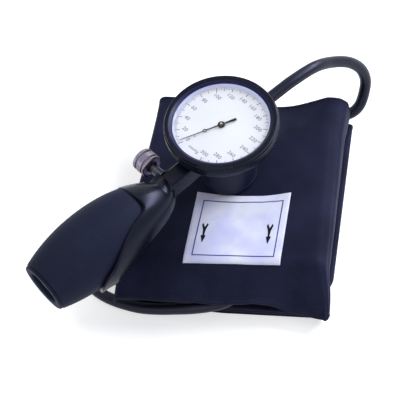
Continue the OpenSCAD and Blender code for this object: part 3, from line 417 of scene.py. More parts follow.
def stitches(at, ahead, up, length, width, height):
    """Rows of thread: each stitch is a long bead, a circle squashed in height whose radius falls to its
    ends as the square root of 1 minus the squared way from its middle."""
    way = np.array([-0.97, -0.7, 0.0, 0.7, 0.97])
    a = np.linspace(0, 2 * np.pi, 6, endpoint=False)[None, :, None]
    r = np.sqrt(1 - way**2)[:, None, None]
    side = unit(np.cross(up, ahead))
    ring = np.cos(a) * side[:, None, None] * width / 2
    ring = ring + np.sin(a) * up[:, None, None] * height / 2
    points = at[:, None, None] + way[:, None, None] * ahead[:, None, None] * length / 2 + r * ring
    return joined([tube(p) for p in points])


def piece(name, shape, finish, node=None, body=BASE, sharp=40.0, with_uv=False):
    """Puts a skin in the scene as a mesh object at the origin, and says what it rides on and which node it
    replaces. The finish is its one material. Faces that have shrunk to a line are left out, and a quad that
    repeats a corner becomes a triangle."""
    points, faces, uvs = shape
    same = faces == np.roll(faces, -1, 1)
    keep = same.sum(1) < 2
    faces, uvs, same = faces[keep], uvs[keep], same[keep]
    first = np.where(same.any(1), (same.argmax(1) + 2) % 4, 0)[:, None]
    order = (np.arange(4)[None] + first) % 4
    faces, uvs = np.take_along_axis(faces, order, 1), np.take_along_axis(uvs, order[..., None], 1)
    used, faces = np.unique(faces, return_inverse=True)
    faces = faces.reshape(-1, 4)
    three = same.any(1)
    mesh = bpy.data.meshes.new(name)
    lists = faces[~three].tolist() + faces[three][:, :3].tolist()
    mesh.from_pydata((points[used] * MM).tolist(), [], lists)
    if with_uv:
        flat = np.concatenate([uvs[~three].reshape(-1, 2), uvs[three][:, :3].reshape(-1, 2)])
        mesh.uv_layers.new(name="UVMap").data.foreach_set("uv", flat.ravel())
    mesh.shade_smooth()
    mesh.set_sharp_from_angle(angle=np.radians(sharp))
    mesh.materials.append(finish_of(finish))
    obj = bpy.data.objects.new(name, mesh)
    bpy.context.scene.collection.objects.link(obj)
    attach(obj, body)
    if node:
        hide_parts(node)
    return obj


def soft_piece(name, shape, finish, node):
    """A piece of cloth or thin rubber, with its own UV."""
    return piece(name, shape, finish, node, sharp=60, with_uv=True)


# Materials


class Nodes:
    """Adds nodes to one shader tree: settings by name, and inputs as values or as other nodes' outputs."""

    def __init__(self, tree):
        self.tree = tree

    def feed(self, node, inputs):
        """Gives inputs their values, or links them to other nodes' outputs."""
        for key, value in inputs.items():
            if isinstance(value, bpy.types.NodeSocket):
                self.tree.links.new(value, node.inputs[key])
            else:
                node.inputs[key].default_value = value
        return node

    def add(self, kind, inputs=None, **settings):
        node = self.tree.nodes.new("ShaderNode" + kind)
        for key, value in settings.items():
            setattr(node, key, value)
        return self.feed(node, inputs or {})

    def group(self, maker, inputs):
        """A node of the group that a function makes on its first use."""
        if maker not in GROUPS:
            GROUPS[maker] = maker()
        return self.add("Group", inputs, node_tree=GROUPS[maker]).outputs

    def math(self, operation, a, b=0.0, c=0.0):
        return self.add("Math", {0: a, 1: b, 2: c}, operation=operation).outputs[0]

    def mix(self, factor, a, b):
        return self.add("Mix", {0: factor, 6: a, 7: b}, data_type="RGBA").outputs[2]

    def scaled(self, vector, gain):
        return self.add("VectorMath", {0: vector, "Scale": gain}, operation="SCALE").outputs[0]

    def smooth(self, value, low, high):
        """0 below low, 1 above high."""
        names = {"Value": value, "From Min": low, "From Max": high}
        return self.add("MapRange", names, interpolation_type="SMOOTHSTEP").outputs["Result"]

    def noise(self, vector, scale, detail=3.0):
        return self.add("TexNoise", {"Vector": vector, "Scale": scale, "Detail": detail}).outputs["Fac"]

    def stretched(self, vector, scale, rotation=(0.0, 0.0, 0.0)):
        """A place turned and stretched, so that what is drawn from it runs one way."""
        return self.add("Mapping", {"Vector": vector, "Rotation": rotation, "Scale": scale}).outputs[0]

    def own_place(self):
        """The place on the object, in metres."""
        return self.add("TexCoord").outputs["Object"]

    def relief(self, height, depth):
        """The normal of a surface with a height from 0 to 1, which stands for so many millimetres."""
        return self.add("Bump", {"Strength": 1.0, "Distance": depth * MM, "Height": height}).outputs[0]

    def seen(self):
        """1 where a ray comes from the camera, straight, reflected or through the window, and 0 for light."""
        light = self.add("LightPath").outputs
        indirect = self.math("MAXIMUM", light["Is Glossy Ray"], light["Is Transmission Ray"])
        return self.math("MAXIMUM", light["Is Camera Ray"], indirect)


GROUPS = {}
SOCKETS = {type(None): "NodeSocketVector", tuple: "NodeSocketColor", float: "NodeSocketFloat"}


def group_tree(name, inputs, outputs):
    """A shader node group with named sockets, and its input and output nodes. A default says what an input
    is: a number, a colour, or a vector where there is none. Outputs are numbers, apart from Colour."""
    tree = bpy.data.node_groups.new(name, "ShaderNodeTree")
    for label, default in inputs.items():
        socket = tree.interface.new_socket(label, in_out="INPUT", socket_type=SOCKETS[type(default)])
        if default is not None:
            socket.default_value = default
    for label in outputs:
        kind = SOCKETS[tuple if label == "Colour" else float]
        tree.interface.new_socket(label, in_out="OUTPUT", socket_type=kind)
    return Nodes(tree), tree.nodes.new("NodeGroupInput").outputs, tree.nodes.new("NodeGroupOutput")


def grain_group():
    """Moulded or worked surface: fine pits, broad clouding of the colour, and uneven gloss."""
    inputs = {"Vector": None, "Colour": (0.1, 0.1, 0.1, 1), "Scale": 2500.0, "Clouding": 0.15,
              "Roughness": 0.4, "Unevenness": 0.1}
    nodes, given, out = group_tree("surface grain", inputs, ["Colour", "Roughness", "Height"])
    cloud = nodes.noise(given["Vector"], 45.0, 4.0)
    pits = nodes.noise(given["Vector"], given["Scale"], 2.0)
    spread = nodes.math("MULTIPLY_ADD", cloud, 2.0, -1.0)
    gain = nodes.math("MULTIPLY_ADD", spread, given["Clouding"], 1.0)
    both = nodes.math("SUBTRACT", nodes.math("ADD", cloud, pits), 1.0)
    rough = nodes.math("MULTIPLY_ADD", both, given["Unevenness"], given["Roughness"])
    nodes.feed(out, {"Colour": nodes.scaled(given["Colour"], gain), "Roughness": rough, "Height": pits})
    return nodes.tree


def weave_group():
    """Plain weave: warp and weft threads as half rounds that pass over each other in turn, with slubs."""
    inputs = {"UV": None, "Threads": 1600.0, "Slubs": 0.3}
    nodes, given, out = group_tree("plain weave", inputs, ["Height", "Shade"])
    across = nodes.add("SeparateXYZ", {0: nodes.scaled(given["UV"], given["Threads"])}).outputs
    warp, weft = (nodes.math("ABSOLUTE", nodes.math("SINE", nodes.math("MULTIPLY", across[axis], np.pi)))
                  for axis in "XY")
    cells = nodes.math("ADD", nodes.math("FLOOR", across["X"]), nodes.math("FLOOR", across["Y"]))
    over = nodes.math("MULTIPLY", warp, nodes.math("MULTIPLY_ADD", weft, 0.5, 0.5))
    under = nodes.math("MULTIPLY", weft, nodes.math("MULTIPLY_ADD", warp, 0.5, 0.5))
    chosen = nodes.add("Mix", {0: nodes.math("PINGPONG", cells, 1.0), 2: over, 3: under}).outputs[0]
    slub = nodes.math("ADD", *(nodes.noise(nodes.stretched(given["UV"], scale), 1.0, 1.0)
                               for scale in ((60.0, 1500.0, 1.0), (1500.0, 60.0, 1.0))))
    uneven = nodes.math("MULTIPLY", nodes.math("SUBTRACT", slub, 1.0), given["Slubs"])
    # Shade is the threads' height, so their crests are painted lighter (a painted highlight), with the slubs
    # as real uneven thread.
    nodes.feed(out, {"Height": chosen, "Shade": nodes.math("ADD", chosen, uneven)})
    return nodes.tree


def wear_group():
    """Rubs and dust: a mask of scattered soft patches and fine scratches."""
    inputs = {"Vector": None, "Patch size": 120.0, "Amount": 0.3}
    nodes, given, out = group_tree("rubs", inputs, ["Mask"])
    patches = nodes.smooth(nodes.noise(given["Vector"], given["Patch size"], 5.0), 0.52, 0.72)
    drawn = nodes.stretched(given["Vector"], (40.0, 900.0, 900.0), (0.5, 0.2, 0.7))
    scratches = nodes.smooth(nodes.noise(drawn, 1.0, 1.0), 0.66, 0.74)
    either = nodes.math("MAXIMUM", patches, scratches)
    nodes.feed(out, {"Mask": nodes.math("MULTIPLY", either, given["Amount"])})
    return nodes.tree


def new_material(name):
    """Empty node material with its surface shader, ready for its inputs."""
    material = bpy.data.materials.new(name)
    material.use_nodes = True
    return material, Nodes(material.node_tree), material.node_tree.nodes["Principled BSDF"]


def worked(name, colour, roughness, metallic=0.0, scale=2500.0, clouding=0.15, unevenness=0.1, depth=0.05,
           rubbed=None, rub=0.25, patch=120.0, brushed=None, specular=0.5, tint=(1.0, 1.0, 1.0)):
    """Plastic, rubber, paint or metal: grain in its colour, gloss and height, with rubbed patches.
    brushed stretches the grain along one axis, as turning or rolling does."""
    material, nodes, shader = new_material(name)
    place = nodes.own_place()
    if brushed:
        place = nodes.stretched(place, brushed)
    grain = nodes.group(grain_group, {"Vector": place, "Colour": (*colour, 1), "Scale": scale,
                                      "Clouding": clouding, "Roughness": roughness, "Unevenness": unevenness})
    surface, gloss = grain["Colour"], grain["Roughness"]
    if rubbed:
        worn = nodes.group(wear_group, {"Vector": place, "Patch size": patch, "Amount": rub})["Mask"]
        surface = nodes.mix(worn, surface, (*rubbed, 1))
        gloss = nodes.math("MULTIPLY_ADD", worn, 0.25, gloss)
    nodes.feed(shader, {"Base Color": surface, "Roughness": gloss, "Metallic": metallic,
                        "Normal": nodes.relief(grain["Height"], depth), "Specular IOR Level": specular,
                        "Specular Tint": (*tint, 1)})
    return material


def cloth(name, colour, lift, threads=1600.0, depth=0.06, roughness=0.6, sheen=0.04,
          sheen_tint=(0.35, 0.4, 0.9), slubs=0.3, cloud_scale=30.0, cloud_share=0.5):
    """Woven cloth: the weave lifts it along its UV and paints its raised threads lighter, a painted
    highlight, with broad clouding and a sheen.
    """
    material, nodes, shader = new_material(name)
    uv = nodes.add("UVMap", uv_map="UVMap").outputs[0]
    weave = nodes.group(weave_group, {"UV": uv, "Threads": threads, "Slubs": slubs})
    cloud = nodes.smooth(nodes.noise(uv, cloud_scale, 5.0), 0.3, 0.7)
    thread = nodes.math("MULTIPLY", weave["Shade"], 1 - cloud_share)
    shade = nodes.math("MULTIPLY_ADD", cloud, cloud_share, thread)
    nodes.feed(shader, {"Base Color": nodes.mix(shade, (*colour, 1), (*lift, 1)),
                        "Roughness": nodes.math("MULTIPLY_ADD", cloud, -0.12, roughness + 0.06),
                        "Normal": nodes.relief(weave["Height"], depth), "Sheen Weight": sheen,
                        "Sheen Roughness": 0.45, "Sheen Tint": (*sheen_tint, 1), "Specular IOR Level": 0.07})
    return material


def window_glass(name):
    """Clear moulded window: glass that lets light straight through to the dial."""
    material, nodes, shader = new_material(name)
    rough = nodes.math("MULTIPLY", nodes.noise(nodes.own_place(), 90.0, 4.0), 0.02)
    nodes.feed(shader, {"Base Color": (0.97, 0.98, 1.0, 1), "IOR": 1.2, "Transmission Weight": 1.0,
                        "Roughness": rough})
    return material


METAL = {"metallic": 1.0}
PLATED = {"metallic": 1.0, "clouding": 0.2, "depth": 0.01}
BLUISH = {"specular": 0.16, "tint": (0.7, 0.74, 1.0)}
INK = {"scale": 4000.0, "clouding": 0.3, "depth": 0.01}
THREAD = {"scale": 4000.0, "depth": 0.05}

# Each finish's maker, what it is given and its other values. A colour given by name is one of the settings.
FINISHES = {
    "cuff_nylon": (cloth, "cloth", "cloth_lift", {}),
    "lining_nylon": (cloth, (0.006, 0.007, 0.014), (0.016, 0.018, 0.032), {"threads": 1900.0}),
    "binding_tape": (cloth, (0.005, 0.006, 0.014), (0.018, 0.02, 0.045), {"threads": 1100.0, "depth": 0.1}),
    "fastener_tape": (cloth, (0.006, 0.007, 0.014), (0.03, 0.032, 0.05),
                      {"threads": 700.0, "depth": 0.5, "slubs": 0.9}),
    # The label is white: its lavender colour, clouded with white in broad patches, is painted bluish shade.
    "label_cloth": (cloth, (0.62, 0.64, 0.96), (0.95, 0.95, 1.0),
                    {"threads": 2400.0, "depth": 0.03, "roughness": 0.5, "sheen": 0.05,
                     "sheen_tint": (0.9, 0.9, 1.0), "slubs": 0.12, "cloud_scale": 38.0, "cloud_share": 0.75}),
    "thread": (worked, (0.006, 0.007, 0.016), 0.6, {**THREAD, "specular": 0.05}),
    "label thread": (worked, (0.7, 0.7, 0.82), 0.6, THREAD),
    "label frame ink": (worked, "label_blue", 0.5, INK),
    "label arrow ink": (worked, (0.01, 0.01, 0.016), 0.5, {**INK, "specular": 0.1}),
    "dial print": (worked, "print_black", 0.5, {**INK, "clouding": 0.2, "depth": 0.005}),
    "bladder_rubber": (worked, (0.05, 0.05, 0.055), 0.6, {"scale": 900.0, "depth": 0.1}),
    "hose_rubber": (worked, (0.0045, 0.0052, 0.012), 0.36,
                    {**BLUISH, "specular": 0.26, "scale": 1500.0, "depth": 0.03,
                     "rubbed": (0.02, 0.022, 0.035), "rub": 0.2}),
    "bulb_rubber": (worked, "bulb", 0.6,
                    {**BLUISH, "specular": 0.1, "scale": 2200.0, "clouding": 0.12, "depth": 0.06,
                     "rubbed": (0.04, 0.045, 0.07), "rub": 0.15, "patch": 60.0}),
    "seal_rubber": (worked, (0.02, 0.02, 0.02), 0.6, {"specular": 0.2}),
    "valve_rubber": (worked, (0.28, 0.05, 0.03), 0.6, {"specular": 0.3}),
    "black_gloss": (worked, "gloss_black", 0.25,
                    {**BLUISH, "scale": 1500.0, "depth": 0.004, "unevenness": 0.04,
                     "rubbed": (0.012, 0.013, 0.022), "rub": 0.12}),
    "black_matte": (worked, (0.012, 0.013, 0.02), 0.5, {"depth": 0.04, "specular": 0.2}),
    "black_paint": (worked, (0.01, 0.011, 0.027), 0.42,
                    {**BLUISH, "scale": 1600.0, "depth": 0.03, "rubbed": (0.02, 0.021, 0.04), "rub": 0.12}),
    "dial_white": (worked, (0.8, 0.8, 0.82), 0.5, {"scale": 3000.0, "clouding": 0.015, "depth": 0.005}),
    # The white ring round the dial, coloured lavender: painted shade.
    "rim_white": (worked, (0.62, 0.65, 0.88), 0.4, {"scale": 3000.0, "clouding": 0.03, "depth": 0.005}),
    "rim_navy": (worked, (0.006, 0.007, 0.05), 0.4,
                 {"scale": 2000.0, "clouding": 0.1, "depth": 0.01, "specular": 0.2}),
    "pointer_black": (worked, (0.012, 0.012, 0.014), 0.45, {"specular": 0.2}),
    "black_nickel": (worked, (0.05, 0.05, 0.065), 0.25, PLATED),
    "plated_brass": (worked, (0.5, 0.49, 0.52), 0.28,
                     {**PLATED, "brushed": (1.0, 1.0, 0.15), "scale": 1400.0}),
    "cap_metal": (worked, (0.16, 0.15, 0.145), 0.42, PLATED),
    "knob_metal": (worked, "knob", 0.32,
                   {**METAL, "clouding": 0.35, "depth": 0.02, "rubbed": (0.36, 0.31, 0.33), "rub": 0.4,
                    "patch": 400.0}),
    "movement_brass": (worked, (0.8, 0.6, 0.3), 0.3, {**METAL, "brushed": (0.1, 1.0, 1.0)}),
    "capsule_bronze": (worked, (0.75, 0.56, 0.32), 0.35, METAL),
    "blued_spring": (worked, (0.12, 0.18, 0.36), 0.25, METAL),
    "steel": (worked, (0.55, 0.55, 0.57), 0.3, {**METAL, "brushed": (1.0, 1.0, 0.1)}),
    "window": (window_glass, {}),
}
MATERIALS = {}


def finish_of(name):
    """The material of a finish, made on its first use."""
    if name not in MATERIALS:
        maker, *given, values = FINISHES[name]
        given = [getattr(looks(), v) if isinstance(v, str) else v for v in given]
        MATERIALS[name] = maker(name, *given, **values)
    return MATERIALS[name]


# Settings


def length(label, value, about):
    """A length setting, in metres in Blender and given here in millimetres."""
    return bpy.props.FloatProperty(name=label, description=about, default=value * MM, unit="LENGTH",
                                   precision=5)


def colour(label, value, about):
    """A colour setting."""
    return bpy.props.FloatVectorProperty(name=label, description=about, default=value, size=3, min=0, max=1,
                                         subtype="COLOR")


class SPHYG_PG_colours(bpy.types.PropertyGroup):
    """Colours of the pieces that show most."""

    cloth: colour("Cloth", (0.0045, 0.005, 0.014), "Dark threads of the cuff")
    # Colour of the raised threads and of the broad clouds: on the threads it is a painted highlight.
    cloth_lift: colour("Cloth, raised", (0.017, 0.019, 0.05), "Raised threads of the cuff")
    bulb: colour("Bulb", (0.013, 0.016, 0.034), "Rubber of the bulb")
    gloss_black: colour("Gloss black", (0.0045, 0.0055, 0.013), "Moulded bezel, neck and spoon")
    knob: colour("Knob", (0.25, 0.225, 0.29), "Plating of the release valve's knob")
    print_black: colour("Dial print", (0.08, 0.08, 0.1), "Numbers and marks of the dial")
    label_blue: colour("Label frame", (0.02, 0.02, 0.2), "Line round the label")


class SPHYG_PG_sizes(bpy.types.PropertyGroup):
    """Sizes of what the scene adds to the part's solids."""

    crease: length("Creases", 0.45, "Depth of the soft creases in the cuff")
    stitch: length("Stitch", 2.6, "Length of one stitch")
    numeral: length("Numerals", 2.5, "Height of the dial's numbers")
    mark: length("Marks", 0.2, "Width of a fine mark on the dial")
    seam: length("Seam", 0.1, "Height of the bulb's mould seam")


def looks():
    return bpy.context.scene.sphyg_colours


def size_of(name):
    """One of the size settings, in millimetres."""
    return getattr(bpy.context.scene.sphyg_sizes, name) / MM


# The cuff


def foot_slope(x, y):
    """The cloth under the gauge's foot leans with it, and comes back to level from 20 to 46 mm off it."""
    dx, dy = x - GAUGE_AT[0], y - GAUGE_AT[1]
    slope = np.tan(np.radians(GAUGE_LEAN)) * (dy * LEAN_AXIS[0] - dx * LEAN_AXIS[1])
    return slope * (1 - soft_step(20, 46, np.hypot(dx, dy)))


def corner(x, y):
    """0 over most of the cuff, rising to 1 at the front right corner, where it is pressed flat."""
    return soft_step(-20, CUFF_RIGHT + 2, x) * soft_step(-EDGE_Y + 22, -EDGE_Y - 3, y)


def flap(x, y):
    """0 over most of the cuff, rising to 1 at the front left edge, which droops and slips forward."""
    return soft_step(30, -10, x) * soft_step(-50, -EDGE_Y - BINDING_W, y)


def top_z(x, y):
    """Height of the cuff's top: level, less the pressed corner, the hollow behind the gauge and the flap's
    droop, plus the foot's slope and the ridge along the right fold, high at the back and dented in front."""
    hollow = HOLLOW * bump(14, 27, x) * soft_step(38, EDGE_Y, y)
    ridge = RIDGE * bump(CUFF_RIGHT - 2, 12, x) * soft_step(10, EDGE_Y, y)
    ridge = ridge - DENT * bump(33, 13, x) * soft_step(-EDGE_Y + 18, -EDGE_Y, y)
    return CUFF_H - CORNER_FALL * corner(x, y) + foot_slope(x, y) - hollow + ridge - FLAP_DROOP * flap(x, y)


def layer_z(k, x, y):
    """Height of the middle of lower layer k, counted from the bottom."""
    return CLOTH_T / 2 + k * LAYER_PITCH * (1 - 0.45 * corner(x, y))


def creases(x, y):
    """Soft creases of the top, in depths of a crease: products of sines that run off from the folds and the
    front edge, dying out at the gauge's foot."""
    waves = 0.5 * np.sin(0.21 * x + 0.11 * y + 1.3) * np.sin(0.05 * x - 0.13 * y)
    waves = waves + 0.35 * np.sin(0.34 * x - 0.07 * y) * bump(CUFF_RIGHT - 12, 16, x)
    waves = waves + 0.5 * np.sin(0.5 * x + 0.9 * np.sin(0.1 * x)) * soft_step(-EDGE_Y + 15, -EDGE_Y, y)
    waves = waves + 0.4 * np.sin(0.42 * y + 0.05 * x) * soft_step(-CUFF_LEFT + 22, -CUFF_LEFT, x)
    return waves * soft_step(17, 30, np.hypot(x - GAUGE_AT[0], y - GAUGE_AT[1]))


def cloth_sections(y):
    """Middle line of the cloth for a column of places along its width, as (places, points, X and Z): the
    left curl (an arc of 80 degrees), the top layer, the right fold (a circle with its sines and cosines to
    a power, so it is squarer), the second layer, the left fold, the third layer, the right fold and the
    bottom."""
    edge_r, small_r = (POCKET_T - CLOTH_T) / 2, LAYER_PITCH / 2
    right = CUFF_RIGHT + 0.02 * y + 1.5 * soft_step(45, EDGE_Y, y) + 1.6 * soft_step(-48, -66, y)
    big_r = (top_z(right - 9, y) - CLOTH_T / 2 - layer_z(2, right - 9, y)) / 2
    big_x = right - CLOTH_T / 2 - big_r
    big_z = layer_z(2, big_x, y) + big_r
    low_x = CUFF_RIGHT + 2 + 0.032 * y - CLOTH_T / 2 - small_r - 3.2 * soft_step(-46, -58, y)
    left_x = -CUFF_LEFT + 6 - LOWER_REACH + 7 * soft_step(-40, 60, y)
    start = -CUFF_LEFT + CLOTH_T / 2 + edge_r - 4.5 * soft_step(60, -50, y) - 2 * soft_step(-50, -EDGE_Y, y)
    line = lambda a, b, k: a + (b - a) * np.linspace(0, 1, k)[None]
    a = np.radians(np.linspace(0, 80, CURL_COLUMNS))[None]
    edge_top = top_z(start, y) - CLOTH_T / 2
    parts = [(start - edge_r * np.cos(a), edge_top - edge_r + edge_r * np.sin(a))]
    xs = line(start, big_x, LEVEL_COLUMNS)
    w = np.linspace(0, 1, LEVEL_COLUMNS)[None] ** 16
    level = top_z(xs, y) - CLOTH_T / 2 + size_of("crease") * creases(xs, y) * (1 - w)
    parts.append((xs, level * (1 - w) + (big_z + big_r) * w))
    a = np.linspace(0, np.pi, 42)[None, 1:-1]
    fuller = FOLD_POWER - 0.42 * soft_step(30, 62, y) * soft_step(np.pi / 2, 0.7 * np.pi, a)
    pleats = 0.22 * np.sin(11 * a + 0.035 * y) * np.sin(a) * soft_step(0.02, 0.5, a) * soft_step(2.6, 1.6, a)
    parts.append((big_x + (big_r + pleats) * np.sin(a) ** fuller,
                  big_z + (big_r + pleats) * np.sign(np.cos(a)) * np.abs(np.cos(a)) ** FOLD_POWER))
    xs = line(big_x, left_x, 52)
    parts.append((xs, layer_z(2, xs, y)))
    a = np.linspace(0, np.pi, 12)[None, 1:-1]
    parts.append((left_x - small_r * np.sin(a), layer_z(1.5, left_x, y) + small_r * np.cos(a)))
    xs = line(left_x, low_x, 54)
    parts.append((xs, layer_z(1, xs, y)))
    high = layer_z(1, low_x, y) - CLOTH_T / 2
    parts.append((low_x + small_r * np.sin(a), CLOTH_T / 2 + high * (1 + np.cos(a)) / 2))
    xs = line(low_x, left_x + 8, 44)
    parts.append((xs, CLOTH_T / 2))
    return np.concatenate([points_of(*part) for part in parts], 1)


def ribbon(ys, thickness):
    """Cloth along the folded line, as its two sides and their UV. Each point goes half the thickness to
    either side of the line, square to it. The lower layers lie a little further back than the top one, the
    ear at the right fold sticks out in front, and the flap slips forward."""
    y = np.asarray(ys, float)[:, None]
    lines = cloth_sections(y)
    ahead = unit(np.gradient(lines, axis=1))
    side = points_of(-ahead[..., 1], ahead[..., 0])
    columns = np.arange(lines.shape[1])[None]
    lower = soft_step(TOP_COLUMNS, TOP_COLUMNS + 34, columns)
    ear = EAR * soft_step(-EDGE_Y + 16, -EDGE_Y - 2, y) * bump(TOP_COLUMNS + 5, 16, columns)
    thick = np.broadcast_to(np.asarray(thickness, float), len(ys))[:, None, None]
    sides = []
    for s in (0.5, -0.5):
        x, z = np.moveaxis(lines + s * thick * side, -1, 0)
        skew = LAYERS_BACK + 0.06 * np.maximum(0, -5 - x)
        back = y + skew * lower - ear - FLAP_SLIP * flap(x, y) * (1 - lower)
        sides.append(points_of(x, back, np.maximum(0, z)))
    far = lengths_of(np.linalg.norm(np.diff(lines, axis=1), axis=-1).mean(0))
    return *sides, points_of(far[None], y)


class SPHYG_OT_cuff(bpy.types.Operator):
    """Lays the folded cuff: cloth, bound edges, stitching, lining, bladder and fastener tapes"""

    bl_idname = "sphyg.cuff"
    bl_label = "Cuff"

    def execute(self, context):
        upper, lower, uv = ribbon(np.linspace(-EDGE_Y, EDGE_Y, 96), CLOTH_T)
        made = soft_piece("cuff_sheet", sheeted(upper, lower, uv), "cuff_nylon", "cuff_cloth")
        way = np.array([0.0, 0.35, 0.7, 0.9, 1.0])
        thick = (CLOTH_T + 0.5) * np.sqrt(1 - 0.8 * way**4)
        bindings, threads = [], []
        for end in (-1, 1):
            rows = end * (EDGE_Y + 0.02 + way * (BINDING_W - 0.02))
            bindings.append(sheeted(*ribbon(rows[::end], thick[::end])))
            seam_y = end * (EDGE_Y - SEAM_IN)
            upper = ribbon([seam_y - 0.5, seam_y, seam_y + 0.5], CLOTH_T)[0]
            at, ahead = along(upper[1, 2 : TOP_COLUMNS + 24], STITCH_PITCH, 1.5)
            up = unit(np.cross(ahead, np.array([0, -1.0, 0])))
            threads.append(stitches(at + up * 0.06, ahead, up, size_of("stitch"), STITCH_W, STITCH_H))
        soft_piece("cuff_bound_edges", joined(bindings), "binding_tape", "cuff_binding")
        piece("cuff_stitching", joined(threads), "thread", sharp=80)
        self.inner_pieces()
        return {"FINISHED"}

    def inner_pieces(self):
        """Lining, bladder and tapes, between the layers."""
        left, right = -CUFF_LEFT + POCKET_T / 2, CUFF_RIGHT - 25
        xs, ys = np.linspace(left + 2, right, 60), np.linspace(-EDGE_Y, EDGE_Y, 70)
        x, y = np.meshgrid(xs, ys)
        under = top_z(x, y) - CLOTH_T - 0.5
        puff = soft_step(left - 4, left + 8, x) * soft_step(right + 4, right - 10, x)
        puff = puff * soft_step(EDGE_Y, EDGE_Y - 22, y) * soft_step(-EDGE_Y, -EDGE_Y + 22, y)
        lining = under - 6 * puff * (1 - 0.75 * corner(x, y))
        upper, lower, uv = points_of(x, y, lining - 0.3), points_of(x, y, lining - CLOTH_T), points_of(x, y)
        made = soft_piece("cuff_lining_sheet", sheeted(upper, lower, uv), "lining_nylon", "cuff_lining")
        upper, lower = points_of(x, y, under - 0.05), points_of(x, y, np.minimum(lining - 0.05, under - 0.4))
        inner = [part[3:-3, 3:-3] for part in (upper, lower, uv)]
        made = soft_piece("air_bladder", sheeted(*inner), "bladder_rubber", "bladder")
        for name, start, k in (("hook_tape", -CUFF_LEFT + 16, 0), ("loop_tape", -CUFF_LEFT + 22, 1)):
            xs, ys = np.linspace(start, start + 45, 30), np.linspace(-EDGE_Y + 20, EDGE_Y - 10, 70)
            x, y = np.meshgrid(xs, ys)
            z = CLOTH_T / 2 + k * LAYER_PITCH + CLOTH_T / 2 + 0.175
            nap = 0.06 * np.sin(1.9 * x) * np.sin(1.7 * y)
            shape = sheeted(points_of(x, y, z + PILE_T + nap), points_of(x, y, z), points_of(x, y))
            made = soft_piece(name + "_pile", shape, "fastener_tape", name)


class SPHYG_OT_label(bpy.types.Operator):
    """Sews on the label, with its frame line and its two arrows"""

    bl_idname = "sphyg.label"
    bl_label = "Label"

    def place(self, u, v, lift):
        """A point of the flat label, u to the right and v to the back, set on the cuff's top. The back edge
        sags in a parabola across."""
        x, y = u + LABEL_SHEAR[0] * v, v + LABEL_SHEAR[1] * u
        across = (2 * (u - LABEL_LEFT) / LABEL_W - 1) ** 2
        sag = 0.6 + 0.9 * soft_step(LABEL_BACK - 4, LABEL_BACK, v)
        y = y + soft_step(LABEL_BACK - LABEL_D / 2, LABEL_BACK, v) * (0.9 * across - sag * (1 - across))
        wave = 0.12 * np.sin(0.55 * u + 0.3) * np.sin(0.12 * v) + 0.1 * np.sin(0.6 * v)
        crease = np.maximum(size_of("crease") * creases(x, y), -SOFT_GAP)
        return points_of(x, y, top_z(x, y) + SOFT_GAP + crease + wave * 0.5 + lift)

    def printed(self, outer, inner):
        """A printed line: a flat strip between an outer and an inner outline, a hair above the label."""
        a, b = outlined(outer, 24).T, outlined(inner, 24).T
        corners = ((a, 0.03), (b, 0.03), (b, -PRINT_SINK), (a, -PRINT_SINK))
        return closed_rings(np.stack([self.place(*line, LABEL_T + lift) for line, lift in corners], 1))

    def execute(self, context):
        us = np.linspace(LABEL_LEFT, LABEL_LEFT + LABEL_W, 90)
        vs = np.linspace(LABEL_BACK - LABEL_D, LABEL_BACK, 80)
        u, v = np.meshgrid(us, vs)
        edge = np.minimum.reduce([u - us[0], us[-1] - u, v - vs[0], vs[-1] - v])
        hem = 0.12 * bump(1.6, 0.8, edge) - 0.12 * (1 - soft_step(0, 0.6, edge))
        shape = sheeted(self.place(u, v, LABEL_T + hem), self.place(u, v, 0.0), points_of(u, v))
        made = soft_piece("sewn_label", shape, "label_cloth", "cuff_label")
        left, right, front, back = us[0] + LABEL_IN, us[-1] - LABEL_IN, vs[0] + LABEL_IN, vs[-1] - LABEL_IN
        seam = outlined([[left, front], [right, front], [right, back], [left, back]], 40)
        at, ahead = along(self.place(*seam.T, LABEL_T + 0.05), 2.6)
        up = np.broadcast_to([0, 0, 1.0], at.shape)
        thread = stitches(at, ahead, up, *LABEL_STITCH)
        piece("label_stitching", thread, "label thread", sharp=80)
        box = np.array(FRAME)
        inner = box - np.sign(box - box.mean(0)) * FRAME_W
        piece("label_frame", self.printed(box, inner), "label frame ink", sharp=30)
        piece("label_arrows", self.arrows(), "label arrow ink", sharp=30)
        return {"FINISHED"}

    def arrows(self):
        """Two arrows that point to the front, each a shaft, a head and the flights at its tail: the shapes of
        one side, and the same ones mirrored."""
        t = np.linspace(0, 1, 8)[:, None, None]
        skins = []
        for u in ARROWS_AT:
            for c in np.concatenate([np.array(ARROW_RIGHT) * [-1, 1], ARROW_RIGHT]) + [u, 0]:
                rows = c[None, :2] * (1 - t) + c[None, :1:-1] * t
                x, y = np.moveaxis(rows, -1, 0)
                upper, lower = (self.place(x, y, LABEL_T + lift) for lift in (0.08, -PRINT_SINK))
                skins.append(sheeted(upper, lower, rows))
        return joined(skins)


# The hose


